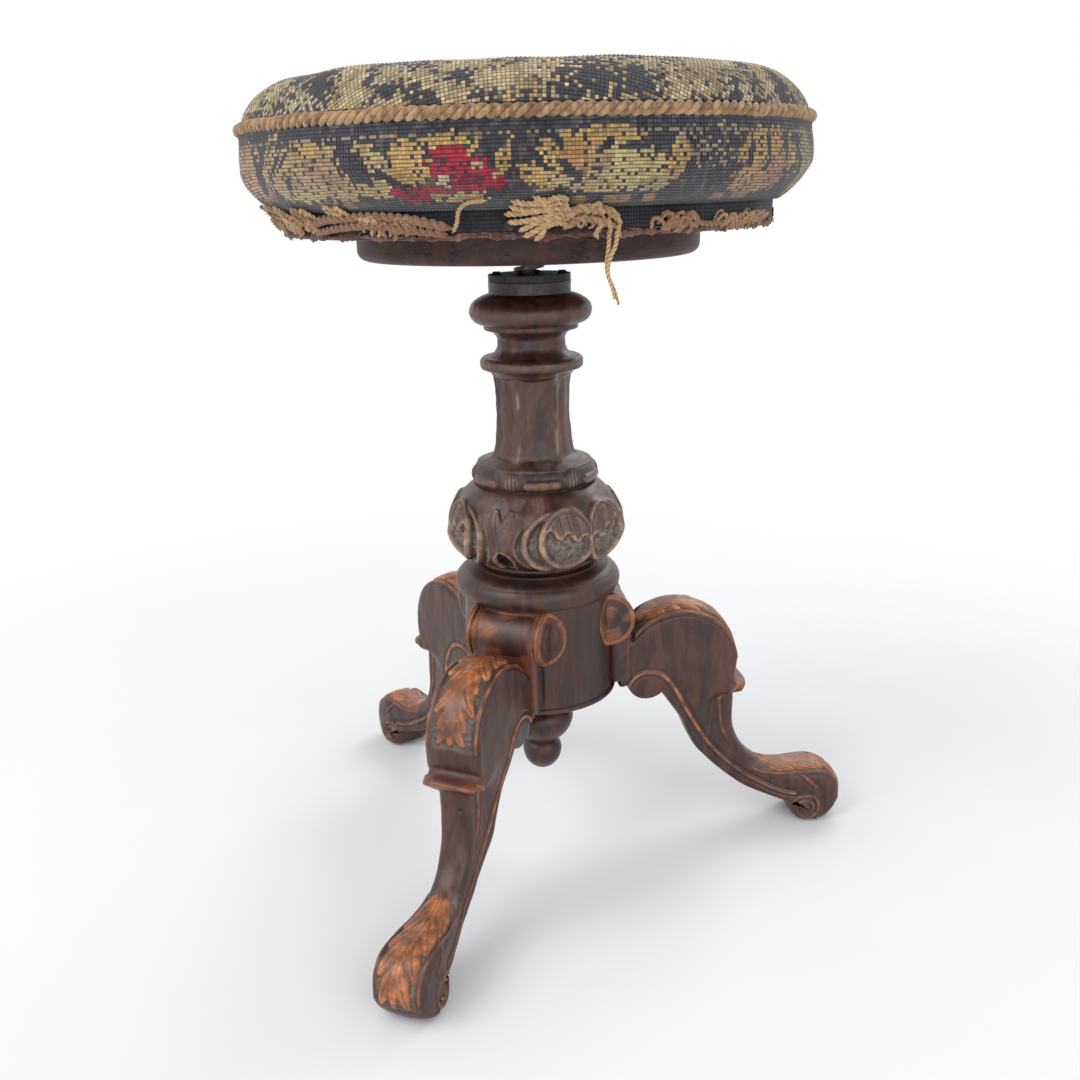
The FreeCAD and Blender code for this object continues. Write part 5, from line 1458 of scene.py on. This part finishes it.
class STOOL_OT_trimming(bpy.types.Operator):
    """Make what is left of the braid and the frayed fringe along the seat's bottom edge"""
    bl_idname = "stool.trimming"
    bl_label = "Worn trimming"

    def execute(self, context):
        braid = yarn_finish("worn_braid_silk", (0.34, 0.19, 0.13), (0.13, 0.055, 0.042), 0.4)
        self.braid(braid)
        fringe = yarn_finish("fringe_yarn", (0.60, 0.40, 0.19), (0.22, 0.105, 0.055), 0.2)
        self.fringe(fringe)
        return {"FINISHED"}

    def braid(self, finish):
        """A ragged strip, twisted in places and worn through in others."""
        shape = Shape()
        pick = np.random.default_rng(81)
        steps, sides = 1440, 12
        azimuth = np.arange(steps) * 360.0 / steps
        turn = np.radians(np.arange(sides) * 360.0 / sides)[None]
        ring = polar(143.0, 417.6, azimuth)
        thick = 0.75 + 0.35 * drift(ring, 7.0, 82)
        tall = 1.5 + 0.7 * drift(ring, 5.0, 83)
        middle = 417.8 + 0.5 * drift(ring, 9.0, 84)
        weave = 0.14 * np.sin(np.radians(azimuth * 230))[:, None]
        reach = 143.1 + np.clip(thick, 0.3, 1.2)[:, None] * np.cos(turn) * (1 + weave)
        height = middle[:, None] + np.clip(tall, 0.5, 2.4)[:, None] * np.sin(turn) * (1 + weave)
        pale = ease(drift(ring, 6.0, 85), -0.4, 0.9)[:, None] + 0 * reach
        red = ease(drift(ring, 14.0, 86), -0.2, 0.8)[:, None] + 0 * reach
        # Painted shade where the woven strip dips in: darker where the weave makes it thinner
        shape.add(polar(reach, height, azimuth[:, None]),
                  np.mod(grid_faces(steps + 1, sides, True), steps * sides),
                  wear_and_shade_marks(pale * 0.8, 0.35 - weave + 0 * reach, red * 0.8))
        for start in pick.uniform(0, 360, 90):
            rise = pick.uniform(-1.5, 3.5)
            stops = [(start, 417.5, 143.9),
                     (start + pick.uniform(-1.5, 1.5), 417.5 + rise * 0.6, 144.8),
                     (start + pick.uniform(-2.5, 2.5), 417.3 + rise, 145.4)]
            strands(shape, rim_path(stops, 14), pick.uniform(0.25, 0.42), 2.4, 2,
                    pick.uniform(0, 6), (pick.uniform(0.3, 1.0),) * 2, red=pick.uniform(0, 0.6))
        make_piece("braid_remains", shape, "seat", finish, ["worn_braid"],
                   marked=True)

    def fringe(self, finish):
        """Frayed yarns: each stop is an azimuth, a height and how far off the cover it is."""
        shape = Shape()
        pick = np.random.default_rng(91)

        def yarn(stops, radius=1.05, tone=(0.9, 0.6), lay=5.0, red=0.0, count=40):
            hugging = [(a, z, np.interp(z, *COVER_BULGE) + lift) for a, z, lift in stops]
            strands(shape, rim_path(hugging, count), radius, lay, 2, pick.uniform(0, 6), tone,
                    red=red)

        def loops(start, sweep, number, low, high, size, tone, red):
            for k in range(number):
                a = start + sweep * (k + pick.uniform(0.1, 0.9)) / number
                z = pick.uniform(low, high)
                out = pick.uniform(-0.6, 2.6)
                lean, lift = pick.uniform(-1.4, 1.4), pick.uniform(0.6, 1.5)
                yarn([(a - size, z - 3.0 * lift, -1.6),
                      (a - size * 0.5 + lean, z + 1.6 * lift, out),
                      (a + size * 0.4 + lean, z + 2.3 * lift, out + 0.6), (a + size, z - 1.6, -0.6),
                      (a + size * 0.4, z - 3.6 * lift, -1.4)], pick.uniform(0.7, 1.25),
                     (tone + pick.uniform(-0.3, 0.3), tone), 4.6, red * pick.uniform(0.2, 1.0), 30)

        loops(-50.0, 22.0, 40, 422.0, 430.5, 1.7, 0.55, 0.55)
        loops(-40.0, 16.0, 16, 422.0, 430.0, 1.6, 0.85, 0.1)
        loops(-17.5, 4.0, 9, 425.5, 430.5, 1.2, 0.9, 0.0)
        loops(-9.8, 3.0, 7, 422.5, 426.5, 1.1, 0.9, 0.0)
        yarn([(-27.5, 422.6, -1.0), (-21.0, 426.4, 0.8), (-13.0, 427.6, 1.0), (-6.0, 428.0, 0.8),
              (2.0, 426.0, 0.4), (9.0, 421.8, -1.2)], 2.5, (0.4, 0.3), 9.0, 0.7, 80)
        yarn([(-25.0, 419.8, -1.8), (-16.0, 422.6, 0.4), (-7.0, 423.6, 0.4), (1.0, 421.0, -0.8),
              (8.0, 419.2, -2.0)], 2.0, (0.35, 0.25), 8.0, 0.8, 80)
        loops(-7.0, 12.0, 9, 421.0, 425.0, 1.2, 0.45, 0.6)
        yarn([(9.2, 420.0, -0.8), (10.3, 424.5, 0.6), (11.0, 430.0, 1.4), (13.0, 433.6, 1.6),
              (16.5, 434.6, 1.6)], 1.15, (0.85, 0.7), 4.6)
        fan = ((20.2, 431.6), (19.2, 428.0), (19.8, 424.2), (21.8, 420.0), (24.6, 415.6),
               (20.6, 434.0), (22.6, 417.4), (24.4, 436.0))
        for k, (tip, height) in enumerate(fan):
            sway = 0.6 if k % 2 else -0.5
            yarn([(28.6, 427.5 - 0.35 * k, 0.6), (26.6, 0.5 * (427.0 + height) + sway + 1.2, 2.4),
                  (0.35 * 28.6 + 0.65 * tip, 0.3 * 427.0 + 0.7 * height + sway, 2.4),
                  (tip, height, 1.2 - 0.2 * k)], 1.55, (1.0, 0.72), 5.6)
        for k in range(6):
            z = 421.6 + 2.3 * k
            yarn([(26.6, z - 0.6, 0.0), (27.7, z + 1.4, 3.0), (29.4, z + 1.8, 3.2),
                  (30.8, z + 0.2, 0.2)], 1.5, (0.95, 0.6), 5.0)
        loops(25.6, 5.0, 8, 425.0, 431.5, 1.3, 0.95, 0.0)
        yarn([(29.5, 424.0, 0.6), (32.5, 429.6, 1.8), (35.5, 429.0, 1.8), (38.5, 428.4, 1.2),
              (41.0, 423.6, 0.2)], 2.3, (0.85, 0.5), 8.0, 0.2, 80)
        yarn([(30.0, 420.4, 0.0), (33.0, 424.8, 1.0), (36.5, 424.0, 1.0), (40.5, 420.2, 0.2)],
             1.9, (0.65, 0.4), 7.0, 0.35, 70)
        loops(31.0, 8.0, 9, 423.0, 429.0, 1.4, 0.75, 0.25)
        yarn([(35.6, 426.0, 1.4), (37.0, 422.0, 2.0), (36.0, 418.0, 1.6), (36.6, 415.4, 1.0)],
             1.25, (0.95, 0.7), 5.5)
        yarn([(39.0, 426.0, 1.8), (40.6, 423.4, 2.0), (40.4, 419.0, 1.2), (41.0, 415.6, 0.8)],
             1.3, (0.9, 0.7), 5.2)
        yarn([(38.4, 425.0, 1.0), (38.8, 421.0, 1.4), (38.9, 417.6, 0.8)], 1.3, (0.95, 0.7), 5.0)
        loops(49.0, 9.0, 12, 420.0, 424.0, 1.4, 0.55, 0.7)
        loops(64.0, 16.0, 16, 420.0, 424.5, 1.4, 0.6, 0.6)
        yarn([(50.0, 419.4, -1.8), (56.0, 421.2, -0.6), (63.0, 420.0, -1.2), (70.0, 421.4, -0.8),
              (77.0, 420.0, -2.0)], 1.6, (0.5, 0.35), 7.0, 0.8, 90)
        yarn([(69.0, 420.0, -1.4), (69.2, 416.0, -0.8)], 0.8, (0.3, 0.2), 4.0, 0.0, 12)
        make_piece("fringe_remains", shape, "seat", finish, ["fringe_tufts"],
                   marked=True)


# Loose threads: how far sideways round the seat, in or out, and below the middle tuft
THREAD_ROUTES = {
    "loose_thread_long": [(0.0, -1.3, 0.0), (0.0, -1.3, -7.0), (-1.6, -1.2, -14.5),
                          (-1.0, -1.0, -21.5), (2.6, -0.6, -28.0), (4.4, -0.4, -35.0)],
    "loose_thread_short": [(3.2, 1.3, 0.0), (3.2, 1.3, -5.5), (-0.8, 1.5, -12.5),
                           (-2.4, 1.6, -19.5), (0.4, 1.5, -26.0), (1.6, 1.2, -32.0)],
}
THREAD_AZIMUTH, THREAD_REACH, THREAD_TOP = math.radians(39.0), 148.0, 418.5
THREAD_DIAMETER, THREAD_LAY = 0.0022, 4.6


def thread_place(sideways, outward, drop):
    """A route's point in metres."""
    reach = THREAD_REACH + outward
    return ((reach * math.sin(THREAD_AZIMUTH) + sideways * math.cos(THREAD_AZIMUTH)) * MM,
            (sideways * math.sin(THREAD_AZIMUTH) - reach * math.cos(THREAD_AZIMUTH)) * MM,
            (THREAD_TOP + drop) * MM)


def hanging_line(name, places):
    """The smooth line that a thread hangs in."""
    curve = bpy.data.curves.new(name + "_line", "CURVE")
    curve.dimensions = "3D"
    spline = curve.splines.new("NURBS")
    spline.points.add(len(places) - 1)
    for point, place in zip(spline.points, places):
        point.co = (*place, 1.0)
    spline.order_u = 3
    spline.use_endpoint_u = True
    spline.resolution_u = 16
    holder = bpy.data.objects.new(name + "_line", curve)
    mesh = bpy.data.meshes.new_from_object(holder)
    line = np.array([vertex.co for vertex in mesh.vertices])
    bpy.data.objects.remove(holder)
    bpy.data.curves.remove(curve)
    bpy.data.meshes.remove(mesh)
    return line


class STOOL_OT_threads(bpy.types.Operator):
    """Hang the two loose threads from the middle tuft"""
    bl_idname = "stool.threads"
    bl_label = "Loose threads"

    def execute(self, context):
        finish = yarn_finish("thread_yarn", (0.60, 0.40, 0.19), (0.28, 0.14, 0.07), 0.15)
        for name, route in THREAD_ROUTES.items():
            places = [thread_place(*place) for place in route]
            line = hanging_line(name, places)
            shape = Shape()
            self.twist(shape, line / MM, THREAD_DIAMETER / MM / 2.0)
            piece = make_piece(name + "_yarn", shape, "seat", finish, [name],
                               marked=True)
        return {"FINISHED"}

    def twist(self, shape, line, radius):
        """A two-ply yarn as one tube, with its plies' grooves cut in a long screw."""
        path = even(line, 0.3)
        run = lengths(path)
        turn = np.linspace(0.0, 2 * np.pi, 14, endpoint=False)[None]
        phase = run[:, None] / THREAD_LAY * 2 * np.pi
        crest = np.abs(np.cos(turn - phase))
        thick = np.interp(run, [0, run[-1] * 0.6, run[-1]], [1.0, 0.95, 0.62])[:, None]
        # Painted highlight on the crests of the plies (paler) and painted shade in the grooves
        # between them
        shape.tube(path, radius * thick * (0.78 + 0.24 * crest),
                   wear_and_shade_marks(0.55 + 0.45 * crest, ease(0.5 - crest, 0.0, 0.45), 0 * crest))


# Panel and registration

STEPS = (STOOL_OT_stage, STOOL_OT_threads, STOOL_OT_column, STOOL_OT_legs, STOOL_OT_ironwork,
         STOOL_OT_seat_wood, STOOL_OT_padding, STOOL_OT_needlework, STOOL_OT_piping,
         STOOL_OT_trimming)
SETTINGS = (("stool_wood", StoolWood), ("stool_seat", StoolSeat), ("stool_stage", StoolStage))


class STOOL_PT_panel(bpy.types.Panel):
    """Lists the stool's settings and its steps"""
    bl_idname = "STOOL_PT_panel"
    bl_label = "Piano stool"
    bl_space_type = "VIEW_3D"
    bl_region_type = "UI"
    bl_category = "Stool"

    def draw(self, context):
        for name, group in SETTINGS:
            box = self.layout.box()
            for field in group.__annotations__:
                box.prop(getattr(context.scene, name), field)
        for step in STEPS:
            self.layout.operator(step.bl_idname)


def register():
    for kind in [group for _, group in SETTINGS] + list(STEPS) + [STOOL_PT_panel]:
        bpy.utils.register_class(kind)
    for name, group in SETTINGS:
        setattr(bpy.types.Scene, name, bpy.props.PointerProperty(type=group))


def unregister():
    for name, _ in SETTINGS:
        delattr(bpy.types.Scene, name)
    for kind in [STOOL_PT_panel] + list(STEPS)[::-1] + [group for _, group in SETTINGS]:
        bpy.utils.unregister_class(kind)


def main():
    register()
    for step in STEPS:
        group, name = step.bl_idname.split(".")
        getattr(getattr(bpy.ops, group), name)()


if __name__ == "__main__":
    main()
